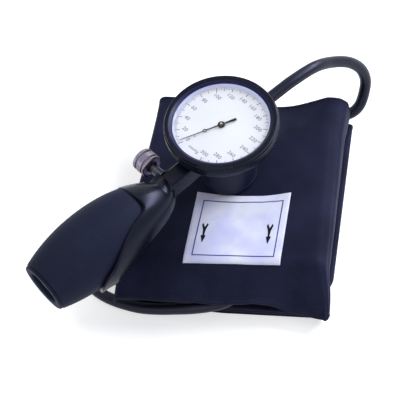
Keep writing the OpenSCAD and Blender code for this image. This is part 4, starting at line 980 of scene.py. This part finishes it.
class SPHYG_OT_hose(bpy.types.Operator):
    """Runs the hose from the gauge, through the cuff's folds and round to the bladder's port"""

    bl_idname = "sphyg.hose"
    bl_label = "Hose"

    def execute(self, context):
        """The sleeve's outside has a shallow ring every 1.8 mm."""
        start = on_gauge([[HOSE_START, 0, NIPPLE_Z], [HOSE_START + 13, 0, NIPPLE_Z]])
        line = spline(np.concatenate([start, HOSE_TURNS]), 6)
        made = piece("air_hose", hose_like(line, HOSE_D / 2), "hose_rubber", "hose", sharp=50, with_uv=True)
        zs = np.linspace(0.3, SLEEVE_LEN - 0.3, 60)
        profile = np.concatenate([[[3.7, 0.05], [4.15, 0.0]], points_of(SLEEVE_R, zs),
                                  [[4.15, SLEEVE_LEN], [3.7, SLEEVE_LEN - 0.05]]])
        ribs = lambda a, r, z: r - 0.18 * (r > 4) * bump(0, 0.35, (z % 1.8) - 0.9)
        at_nipple = lambda points: along_nipple(points + [0, 0, HOSE_START + 2])
        sleeve = moved(at_nipple, turned(profile, 64, swell=ribs))
        clamp = piece("hose_sleeve", sleeve, "black_matte", "hose_clamp")
        float(run_of(line)[-1] * MM)
        return {"FINISHED"}


# The gauge


def rounded_bar(x0, x1, corner_r):
    """The neck's square bar along the hand piece's X: its section is a square with circular corners and a
    wide chamfer towards the knob, shrunk by quarter circles over the first and last steps."""
    a = np.linspace(0, np.pi / 2, 7)
    quarter = round_axis(a) * corner_r + (NECK_W / 2 - corner_r)
    cut = NECK_W / 2 - NECK_CHAMFER * (1 - np.linspace(0, 1, 7) ** 1.5)
    slope = np.maximum(points_of(cut[::-1], cut), NECK_W / 2 - NECK_CHAMFER)
    turns = np.array([[[0, 1], [-1, 0]], [[-1, 0], [0, -1]], [[0, -1], [1, 0]]])
    section = np.concatenate([slope, *(quarter @ turns)])
    b = np.linspace(0, np.pi / 2, 5)
    rise, fall = NECK_ROUND * (1 - np.cos(b)), NECK_ROUND * np.sin(b)
    xs = np.concatenate([x0 + rise, [x1 - NECK_ROUND], x1 - NECK_ROUND + fall[1:]])
    inset = np.concatenate([NECK_ROUND * (1 - np.sin(b)), [0], rise[1:]])
    yz = section[None] * ((NECK_W / 2 - inset)[:, None, None] / (NECK_W / 2))
    x = np.broadcast_to(xs[:, None, None], (*yz.shape[:2], 1))
    return moved(on_gauge, tube(np.concatenate([x, yz + [0, AXIS_Z]], -1)))


class SPHYG_OT_gauge(bpy.types.Operator):
    """Builds the gauge's body, dial case, bezel and the rings round the dial"""

    bl_idname = "sphyg.gauge"
    bl_label = "Gauge"

    def execute(self, context):
        """Every line here is a closed profile of (r, z, cut) for filleted."""
        can = [[0, BASE_Z, 0], [BODY_R, BASE_Z, 0.9], [BODY_R, BASE_Z + 3.2, 0.1],
               [BODY_R - 0.35, BASE_Z + 3.5, 0.1], [BODY_R - 0.35, BASE_Z + 4.1, 0.1],
               [BODY_R, BASE_Z + 4.4, 0.1], [BODY_R, DISH_LOW - 2.4, 0.8], [20.5, DISH_LOW - 1.2, 0.3],
               [20.5, DISH_LOW + 0.3, 0.1], [0, DISH_LOW + 0.3, 0]]
        dish = [[2, DISH_LOW, 0], [CASE_R - 1.5, DISH_LOW, 1.2], [CASE_R + 0.3, DISH_LOW + 1.4, 0.7],
                [CASE_R + 0.5, TOP - BEZEL_H - 0.15, 0.2], [CASE_R, TOP - BEZEL_H - 0.05, 0.1],
                [CASE_R, LENS_Z - 0.6, 0], [CASE_R - 1.5, LENS_Z - 0.6, 0], [CASE_R - 1.5, DIAL_Z - 0.6, 0],
                [CASE_R - 3.7, DIAL_Z - 0.6, 0], [CASE_R - 3.7, BODY_TOP + 1.2, 0], [2, BODY_TOP + 1.2, 0]]
        ring = [[CASE_R + 0.04, TOP - BEZEL_H, 0.05], [BEZEL_R - 0.1, TOP - BEZEL_H, 0.3],
                [BEZEL_R, TOP - 4.4, 0.3], [BEZEL_R - 0.3, TOP - 4.15, 0.12], [BEZEL_R, TOP - 3.9, 0.12],
                [BEZEL_R, TOP - 1.3, 0.8], [BEZEL_R - 0.7, TOP - 1.15, 0.2], [BEZEL_R - 0.85, TOP + 0.6, 0.9],
                [BEZEL_R - 3.2, TOP + 0.3, 0.5], [WINDOW_R + 0.25, TOP - 1.1, 0.15],
                [WINDOW_R + 0.1, TOP - 1.2, 0.02], [CASE_R + 0.04, TOP - 1.22, 0]]
        dark = [[WINDOW_R - 0.3, LENS_Z + 0.05, 0.05], [WINDOW_R + 0.4, LENS_Z + 0.05, 0.05],
                [BEZEL_R - 3.6, TOP - 1.1, 0.2], [BEZEL_R - 3.6, TOP, 0.2], [WINDOW_R - 0.3, TOP - 1.3, 0.2]]
        wall = [[27.9, DIAL_Z + 0.02, 0.1], [31.0, DIAL_Z + 0.02, 0.1], [31.0, LENS_Z - 0.05, 0.1],
                [28.75, LENS_Z - 0.05, 0.1]]
        boss = [[0, 8, 0], [4.5, 8, 0], [4.5, BODY_R + 1.5, 0.3], [0, BODY_R + 1.5, 0]]
        bosses = [rounded_bar(-NECK_FACE, -BODY_R + 6, 1.2), lathed(along_nipple, boss, 64)]
        piece("gauge_can", joined([lathed(on_gauge, can, 160), *bosses]), "black_paint", "gauge_body")
        piece("dial_case", lathed(on_gauge, dish, 180), "black_gloss", "gauge_case")
        piece("front_bezel", lathed(on_gauge, ring, 200), "black_gloss", "bezel")
        piece("dial_rim_dark", lathed(on_gauge, dark, 180), "rim_navy")
        # The white wall between the dial and the window, in its lavender finish of painted shade.
        piece("dial_rim", lathed(on_gauge, wall, 180), "rim_white")
        return {"FINISHED"}


def scale_angle(value):
    """Direction of a value on the dial, in degrees."""
    return ZERO_MARK - SCALE_SWEEP * value / SCALE_TOP


class SPHYG_OT_dial(bpy.types.Operator):
    """Prints the dial's marks and numbers, and sets the pointer on its arbor"""

    bl_idname = "sphyg.dial"
    bl_label = "Dial and pointer"

    def execute(self, context):
        piece("dial_marks", joined(self.marks()), "dial print", sharp=30)
        piece("dial_numbers", joined(self.numbers()), "dial print", sharp=30)
        self.pointer()
        return {"FINISHED"}

    def marks(self):
        """Radial marks at every 2, longer at every 10 and longest at every 20, as thin raised bars."""
        value = np.arange(0, SCALE_TOP + 1, 2)
        out = round_axis(np.radians(scale_angle(value)))
        side = points_of(-out[:, 1], out[:, 0])
        kind = np.where(value % 20 == 0, 0, np.where(value % 10 == 0, 1, 2))
        inner = np.array(MARK_INNER_R)[kind]
        wide = np.array(MARK_WIDTHS)[kind] * size_of("mark") / 2
        outer = np.full_like(inner, MARK_OUTER_R)
        corners = [out * r[:, None] + side * (s * wide)[:, None]
                   for r, s in ((inner, -1), (inner, 1), (outer, 1), (outer, -1))]
        return [bar(c, DIAL_Z + 0.01, DIAL_Z + 0.04) for c in np.stack(corners, 1)]

    def numbers(self):
        """The plain numbers 0 to 300 by 20, all upright, with the unit under them."""
        numbers = [(str(v), scale_angle(v), NUMERAL_R, 1.0) for v in range(0, SCALE_TOP + 1, 20)]
        up, right = np.array([[1.0, 0.0], [0.0, -1.0]])
        skins = []
        for word, angle, r, size in [*numbers, UNIT]:
            points, faces = lettering(word)
            x, y, z = points.T[..., None]
            flat = r * round_axis(np.radians(angle)) + size_of("numeral") * size * (x * right + y * up)
            z = DIAL_Z + 0.01 + 0.03 * (z > 0)
            skins.append(moved(on_gauge, skin(np.concatenate([flat, z], 1), faces)))
        return skins

    def pointer(self):
        """The pointer: a long tapered hand with an open ring, a broad tail and a stepped hub."""
        low, high = DIAL_Z + 0.9, DIAL_Z + 1.25
        turn_to = turn((0, 0, 1), POINTER_REST)[:2, :2].T
        shapes = [[[1.6, -0.34], [1.6, 0.34], [9.4, 0.26], [9.4, -0.26]],
                  [[11.4, -0.24], [11.4, 0.24], [26, 0.1], [26, -0.1]],
                  [[-1.6, 0.42], [-1.6, -0.42], [-9.4, -0.75], [-9.4, 0.75]]]
        ring = [[0.62, low, 0.05], [1.15, low, 0.05], [1.15, high, 0.05], [0.62, high, 0.05]]
        ring_at = np.append(np.array([10.4, 0.0]) @ turn_to, 0)
        hub = [[0.52, low - 0.4, 0], [2.15, low - 0.4, 0.1], [2.15, high + 0.1, 0.15],
               [1.5, high + 0.25, 0.1], [0.52, high + 0.25, 0]]
        cap = [[0.0, high + 0.2, 0], [1.0, high + 0.2, 0.1], [1.0, high + 0.75, 0.25], [0.0, high + 0.85, 0]]
        skins = [bar(np.array(s) @ turn_to, low, high) for s in shapes]
        skins.append(lathed(lambda points: on_gauge(points + ring_at), ring, 40))
        skins.append(lathed(on_gauge, hub, 64))
        piece("gauge_hand", joined(skins), "pointer_black", "pointer", body="pointer_body", sharp=30)
        piece("hand_cap", lathed(on_gauge, cap, 48), "cap_metal", body="pointer_body")


def bar(corners, low, high):
    """Flat four-cornered bar of the dial's frame, from one height to another."""
    return moved(on_gauge, tube(np.stack([np.insert(corners, 2, z, 1) for z in (low, high)])))


def lettering(word):
    """A word as a thin solid of height 1, centred: points and faces of the font's own outline, whose
    capitals are 0.72 high."""
    curve = bpy.data.curves.new("word", "FONT")
    curve.body = word
    curve.align_x, curve.align_y = "CENTER", "CENTER"
    curve.extrude = 0.01
    curve.resolution_u = 3
    curve.space_character = 1.05
    obj = bpy.data.objects.new("word", curve)
    bpy.context.scene.collection.objects.link(obj)
    bpy.context.view_layer.update()
    mesh = bpy.data.meshes.new_from_object(obj.evaluated_get(bpy.context.evaluated_depsgraph_get()))
    mesh.calc_loop_triangles()
    points = np.empty(len(mesh.vertices) * 3)
    mesh.vertices.foreach_get("co", points)
    faces = np.empty(len(mesh.loop_triangles) * 3, int)
    mesh.loop_triangles.foreach_get("vertices", faces)
    faces = faces.reshape(-1, 3)
    bpy.data.objects.remove(obj)
    bpy.data.meshes.remove(mesh)
    bpy.data.curves.remove(curve)
    return points.reshape(-1, 3) / 0.72, np.concatenate([faces, faces[:, 2:]], 1)


# The release valve and the neck


class SPHYG_OT_valve(bpy.types.Operator):
    """Builds the neck block, the release valve's stem and its knurled knob"""

    bl_idname = "sphyg.valve"
    bl_label = "Neck and release valve"

    def execute(self, context):
        piece("neck", rounded_bar(-NECK_END, -NECK_FACE, 1.4), "black_gloss", "neck_block")
        stem = [[1.6, 6.0, 0], [3.7, 6.0, 0], [3.7, 7.3, 0.3], [2.9, 7.5, 0.1], [2.9, 13.4, 0.1],
                [3.25, 13.7, 0.1], [3.25, BARREL_END, 0.2], [1.6, BARREL_END, 0]]
        piece("valve_stem", lathed(along_valve, stem, 72), "black_nickel", "valve_barrel")
        self.knob()
        return {"FINISHED"}

    def knob(self):
        """The knob: a turned barrel cut by straight ridges, its radius less the ridge's depth times how far
        round from a crest, with two plain grooves and a dished face."""
        z0, z1, r = KNOB_START, KNOB_START + KNOB_LEN, KNOB_R
        zs = np.linspace(z0 + 0.7, z1 - 0.9, 70)
        grooves = bump(z0 + 2.5, GROOVE_W, zs) + bump(z1 - 2.7, GROOVE_W, zs)
        outside = points_of(r - GROOVE_DEPTH * np.minimum(grooves, 1), zs)
        near = [[1.6, z0 + 1.6], [3.4, z0 + 1.6], [3.4, z0 + 0.1], [3.6, z0], [r - 0.9, z0],
                [r - 0.5, z0 + 0.15]]
        face = [[r - 0.35, z1 - 0.4], [r - 0.8, z1 - 0.08], [r - 1.3, z1], [r - 2.0, z1 - 0.05],
                [r - 2.4, z1 - 0.5], [0.0, z1 - 0.65], [0.0, z1 - 2.0], [1.6, z1 - 2.0]]

        def ridged(a, radius, z):
            """Triangle wave round the axis, 0 at a crest and 1 between two, over the knob's outside only."""
            way = np.abs(((a * KNOB_RIDGES / (2 * np.pi)) % 1) - 0.5) * 2
            on = soft_step(r - 1.0, r - 0.3, radius) * soft_step(z0 + 0.5, z0 + 0.9, z)
            return radius - RIDGE_DEPTH * way * on * soft_step(z1 - 0.5, z1 - 1.0, z)

        whole = np.concatenate([near, outside, face])
        knob = moved(along_valve, turned(whole, KNOB_RIDGES * 10, swell=ridged))
        piece("release_knob", knob, "knob_metal", "valve_knob", body="knob_body", sharp=32)


# The bulb and its spoon


def bulb_at(t):
    """Radius of the bulb at t along its axis: a full nose up to its widest place, 1 minus the way back from
    it to the power 2.05, all to the power 0.62, then a near parabola that narrows to its flat end."""
    before = np.clip((BULB_WIDEST - t) / BULB_WIDEST, 0, 1)
    after = np.clip((t - BULB_WIDEST) / (BULB_LEN - BULB_WIDEST), 0, 1)
    nose = BULB_R * (1 - before**2.05) ** 0.62
    return np.where(t < BULB_WIDEST, nose, BULB_R - (BULB_R - BULB_END_R) * after**2.1)


class SPHYG_OT_bulb(bpy.types.Operator):
    """Blows the bulb, with its mould seam and the rolled rim of its flat end"""

    bl_idname = "sphyg.bulb"
    bl_label = "Bulb"

    def execute(self, context):
        """The seam is a bell over the two directions where the cosine of the angle is 0."""
        ts = np.concatenate([np.linspace(NECK_START, COLLAR_LEN + 2.5, 34),
                             np.linspace(COLLAR_LEN + 3, BULB_LEN - 2.2, 80)])
        sunk = bulb_at(ts) - COLLAR_SINK * (1 - soft_step(COLLAR_LEN + 1.2, COLLAR_LEN + 2.7, ts))
        outside = points_of(np.maximum(sunk, TAIL_R + 1), ts)
        rim = filleted([[BULB_END_R + 0.15, BULB_LEN - 1.6, 0.4], [BULB_END_R - 0.15, BULB_LEN, 0.8],
                        [10.9, BULB_LEN - 0.15, 0.5], [BULB_PLUG_R, BULB_LEN - 0.9, 0.3],
                        [BULB_PLUG_R, BULB_LEN - 4, 0]], 6)[:-1]
        step = [[BULB_PLUG_R, BULB_LEN - 4], [5.5, BULB_LEN - 4], [5.5, BULB_LEN - 7]]
        deep = np.linspace(BULB_LEN - 7, NECK_START + 12, 40)
        hollow = np.maximum(bulb_at(deep) - 2.4 - COLLAR_SINK * (deep < COLLAR_LEN), TAIL_R)
        profile = np.concatenate([[[TAIL_R, NECK_START]], outside, rim, step, points_of(hollow, deep),
                                  [[TAIL_R, NECK_START + 12]]])
        round_seam = np.radians([-0.9, -0.6, -0.3, 0.01, 0.3, 0.6, 0.9])
        angles = np.sort(np.concatenate([np.linspace(0, 2 * np.pi, 150, endpoint=False),
                                         0.5 * np.pi + round_seam, 1.5 * np.pi + round_seam]))

        def seamed(a, r, z):
            """The bulb's outside raised along its mould seam."""
            rise = size_of("seam") * bump(0, 0.0075, np.abs(np.cos(a)))
            return r + rise * (r > bulb_at(z) - 0.5) * (z < BULB_LEN - 2)

        piece("squeeze_bulb", moved(on_bulb, turned(profile, angles=angles, swell=seamed)), "bulb_rubber",
              "bulb_shell", sharp=45)
        return {"FINISHED"}


class SPHYG_OT_spoon(bpy.types.Operator):
    """Moulds the spoon: a hood over the bulb's neck that runs out into a tongue along one side"""

    bl_idname = "sphyg.spoon"
    bl_label = "Spoon"

    def execute(self, context):
        """Round the bulb the columns follow the lip's line at equal steps. The hood's radius is a power of
        the way along the bulb, and the lip is rounded by a half circle square to its line."""
        line = spline(SPOON_LIP, 10)
        far = lengths_of(np.hypot(*(np.diff(line, axis=0) * [LIP_R, 1]).T))
        side = picked(line, far, np.linspace(0, far[-1], 150))
        off, lip = np.concatenate([side, side[-2:0:-1]]).T[..., None]
        sign = np.where(np.arange(len(off)) < len(side), -1.0, 1.0)[:, None]
        a = np.radians(TONGUE_AT + sign * off)
        hood = soft_step(165, 35, off)
        start = np.full_like(hood, HOOD_START)
        t = start + (lip - start) * np.linspace(0, 1, 70) ** 0.9
        raised = soft_step(2, COLLAR_LEN, t) * soft_step(131, 84, off)
        flare = TONGUE_FLARE * soft_step(33, 67, t)
        inner = np.maximum(bulb_at(t) - COLLAR_SINK * (1 - raised), TAIL_R + 1) + SPOON_GAP + flare
        outer = inner + SPOON_WALL
        outer = np.maximum(outer + hood * (HOOD_R * (t + 3.6) ** HOOD_POWER - outer), inner + 1.2)
        tongue = inner + SPOON_WALL + 3 * soft_step(64, 46, t)
        outer = np.where(t < HOOD_END, outer, np.minimum(outer, tongue))
        square = 7.15 * (np.abs(np.cos(a)) ** 7 + np.abs(np.sin(a)) ** 7) ** (-1 / 7)
        outer = outer + (np.maximum(square, outer) - outer) * soft_step(7, HOOD_START, t)
        mid, half = (outer[:, -1:] + inner[:, -1:]) / 2, (outer[:, -1:] - inner[:, -1:]) / 2
        round_by = (np.roll(a, -1, 0) - np.roll(a, 1, 0) + np.pi) % (2 * np.pi) - np.pi
        way = unit(np.concatenate([round_by * mid, np.roll(lip, -1, 0) - np.roll(lip, 1, 0)], 1))
        bend = np.linspace(0, np.pi, 9)[None, 1:-1]
        lip_r, out = mid + half * np.cos(bend), half * np.sin(bend)
        base = outer[:, :1] + [3.1 - outer[0, 0], -0.45, -0.12]
        floor = start + [-0.5, -0.5, -0.38]
        r = np.concatenate([base, outer, lip_r, inner[:, ::-1], base[:, :1]], 1)
        z = np.concatenate([floor, t, lip + out * way[:, :1], t[:, ::-1], start + 0.3], 1)
        a = np.repeat(a, r.shape[1], 1)
        first = base.shape[1] + outer.shape[1]
        a[:, first : first + out.shape[1]] += -out * way[:, 1:] / lip_r
        shape = closed_rings(on_bulb(points_of(r * np.cos(a), r * np.sin(a), z)))
        piece("spoon_grip", shape, "black_gloss", "spoon", sharp=50)
        return {"FINISHED"}


# Kept solids, stage and camera


class SPHYG_OT_solids(bpy.types.Operator):
    """Gives every solid that is kept from the part its finish"""

    bl_idname = "sphyg.solids"
    bl_label = "Finishes of the kept solids"

    def execute(self, context):
        for row in frame["record"]["subparts"]:
            for place in frame["nodes"][row["node"]].material_slots:
                place.material = finish_of(row["material_slot"])
        return {"FINISHED"}


CAMERA_AT = (0.1128, -0.4283, 0.6134)
CAMERA_AZIMUTH, CAMERA_ELEVATION, CAMERA_ROLL = 18.0, 53.0, 12.5
CAMERA_LENS = 108.0
LAMPS_FACE = (-0.02, 0.0, 0.04)
LAMPS = [
    ("window", (0.55, 0.42, 0.52), (0.75, 0.14), 9.4, (0.82, 0.87, 1.0)),
    ("key softbox", (-0.35, 0.05, 0.9), (0.5, 0.5), 1.2, (0.97, 0.97, 1.0)),
    ("front softbox", (-0.15, -0.85, 0.45), (0.7, 0.3), 2.0, (0.9, 0.93, 1.0)),
]
FLOOR_HALF, FLOOR_Z, FLOOR_GLOW = 4, -5e-5, 0.55
WORLD_LIGHT = 0.28


def set_at(name, data, x, y, z, at):
    """A new object in the scene, at a place, with its own axes along three directions."""
    obj = bpy.data.objects.new(name, data)
    bpy.context.scene.collection.objects.link(obj)
    matrix = np.eye(4)
    matrix[:3] = np.stack([x, y, z, at], 1)
    obj.matrix_world = Matrix(matrix.tolist())
    return obj


class SPHYG_OT_stage(bpy.types.Operator):
    """Sets the camera, the white floor and the soft studio light"""

    bl_idname = "sphyg.stage"
    bl_label = "Stage"

    def execute(self, context):
        context.scene.view_settings.view_transform = "Standard"
        self.camera(context.scene)
        self.floor()
        self.world(context.scene)
        for lamp in LAMPS:
            self.lamp(*lamp)
        return {"FINISHED"}

    def camera(self, scene):
        """The photograph's place: looking down by the elevation, from the azimuth, rolled over."""
        e, a, r = np.radians([CAMERA_ELEVATION, CAMERA_AZIMUTH, CAMERA_ROLL])
        right = np.array([np.cos(a), np.sin(a), 0])
        ahead = np.array([-np.sin(a) * np.cos(e), np.cos(a) * np.cos(e), -np.sin(e)])
        up = np.cross(right, ahead)
        data = bpy.data.cameras.new("camera")
        data.lens, data.sensor_width, data.sensor_fit = CAMERA_LENS, 36.0, "HORIZONTAL"
        data.clip_start, data.clip_end = 0.01, 20.0
        scene.camera = set_at("camera", data, right * np.cos(r) - up * np.sin(r),
                              right * np.sin(r) + up * np.cos(r), -ahead, CAMERA_AT)

    def floor(self):
        """A white floor that keeps a faint shadow, and is white to the camera and in reflections."""
        mesh = bpy.data.meshes.new("floor")
        corners = [(x * FLOOR_HALF, y * FLOOR_HALF, FLOOR_Z) for x, y in ((-1, -1), (1, -1), (1, 1), (-1, 1))]
        mesh.from_pydata(corners, [], [(0, 1, 2, 3)])
        material, nodes, shader = new_material("floor")
        tone = nodes.mix(nodes.noise(nodes.own_place(), 6.0), (0.86, 0.86, 0.87, 1), (0.88, 0.88, 0.89, 1))
        nodes.feed(shader, {"Base Color": tone, "Roughness": 0.9, "Specular IOR Level": 0.0,
                            "Emission Color": (1, 1, 1, 1),
                            "Emission Strength": nodes.math("MULTIPLY", nodes.seen(), FLOOR_GLOW)})
        mesh.materials.append(material)
        floor = bpy.data.objects.new("floor", mesh)
        bpy.context.scene.collection.objects.link(floor)

    def world(self, scene):
        """White all round, at full strength to the camera and in reflections, and softer as a light."""
        world = bpy.data.worlds.new("studio")
        world.use_nodes = True
        nodes = Nodes(world.node_tree)
        strength = nodes.math("MULTIPLY_ADD", nodes.seen(), 1 - WORLD_LIGHT, WORLD_LIGHT)
        nodes.feed(world.node_tree.nodes["Background"], {"Color": (1, 1, 1, 1), "Strength": strength})
        scene.world = world

    def lamp(self, name, at, size, power, tint):
        """A rectangular softbox that faces the object."""
        data = bpy.data.lights.new(name, "AREA")
        data.shape, data.size, data.size_y, data.energy, data.color = "RECTANGLE", *size, power, tint
        back = unit(np.array(at) - LAMPS_FACE)
        side = unit(np.cross([0, 0, 1.0], back))
        set_at(name, data, side, np.cross(back, side), back, at)


class SPHYG_PT_panel(bpy.types.Panel):
    """Lists the pieces and their settings"""

    bl_idname = "SPHYG_PT_panel"
    bl_label = "Blood pressure gauge"
    bl_space_type = "VIEW_3D"
    bl_region_type = "UI"
    bl_category = "Gauge"

    def draw(self, context):
        for group in (context.scene.sphyg_colours, context.scene.sphyg_sizes):
            for key in group.__annotations__:
                self.layout.prop(group, key)
        for operator in STEPS:
            self.layout.operator(operator.bl_idname)


STEPS = (SPHYG_OT_stage, SPHYG_OT_hose, SPHYG_OT_cuff, SPHYG_OT_label, SPHYG_OT_gauge, SPHYG_OT_dial,
         SPHYG_OT_valve, SPHYG_OT_bulb, SPHYG_OT_spoon, SPHYG_OT_solids)
CLASSES = (SPHYG_PG_colours, SPHYG_PG_sizes, *STEPS, SPHYG_PT_panel)


def register():
    for cls in CLASSES:
        bpy.utils.register_class(cls)
    bpy.types.Scene.sphyg_colours = bpy.props.PointerProperty(type=SPHYG_PG_colours)
    bpy.types.Scene.sphyg_sizes = bpy.props.PointerProperty(type=SPHYG_PG_sizes)


def unregister():
    del bpy.types.Scene.sphyg_sizes
    del bpy.types.Scene.sphyg_colours
    for cls in reversed(CLASSES):
        bpy.utils.unregister_class(cls)


def main():
    register()
    for step in STEPS:
        name = step.bl_idname.split(".")[1]
        if getattr(bpy.ops.sphyg, name)() != {"FINISHED"}:
            raise RuntimeError(f"{step.bl_label} didn't finish")


if __name__ == "__main__":
    main()
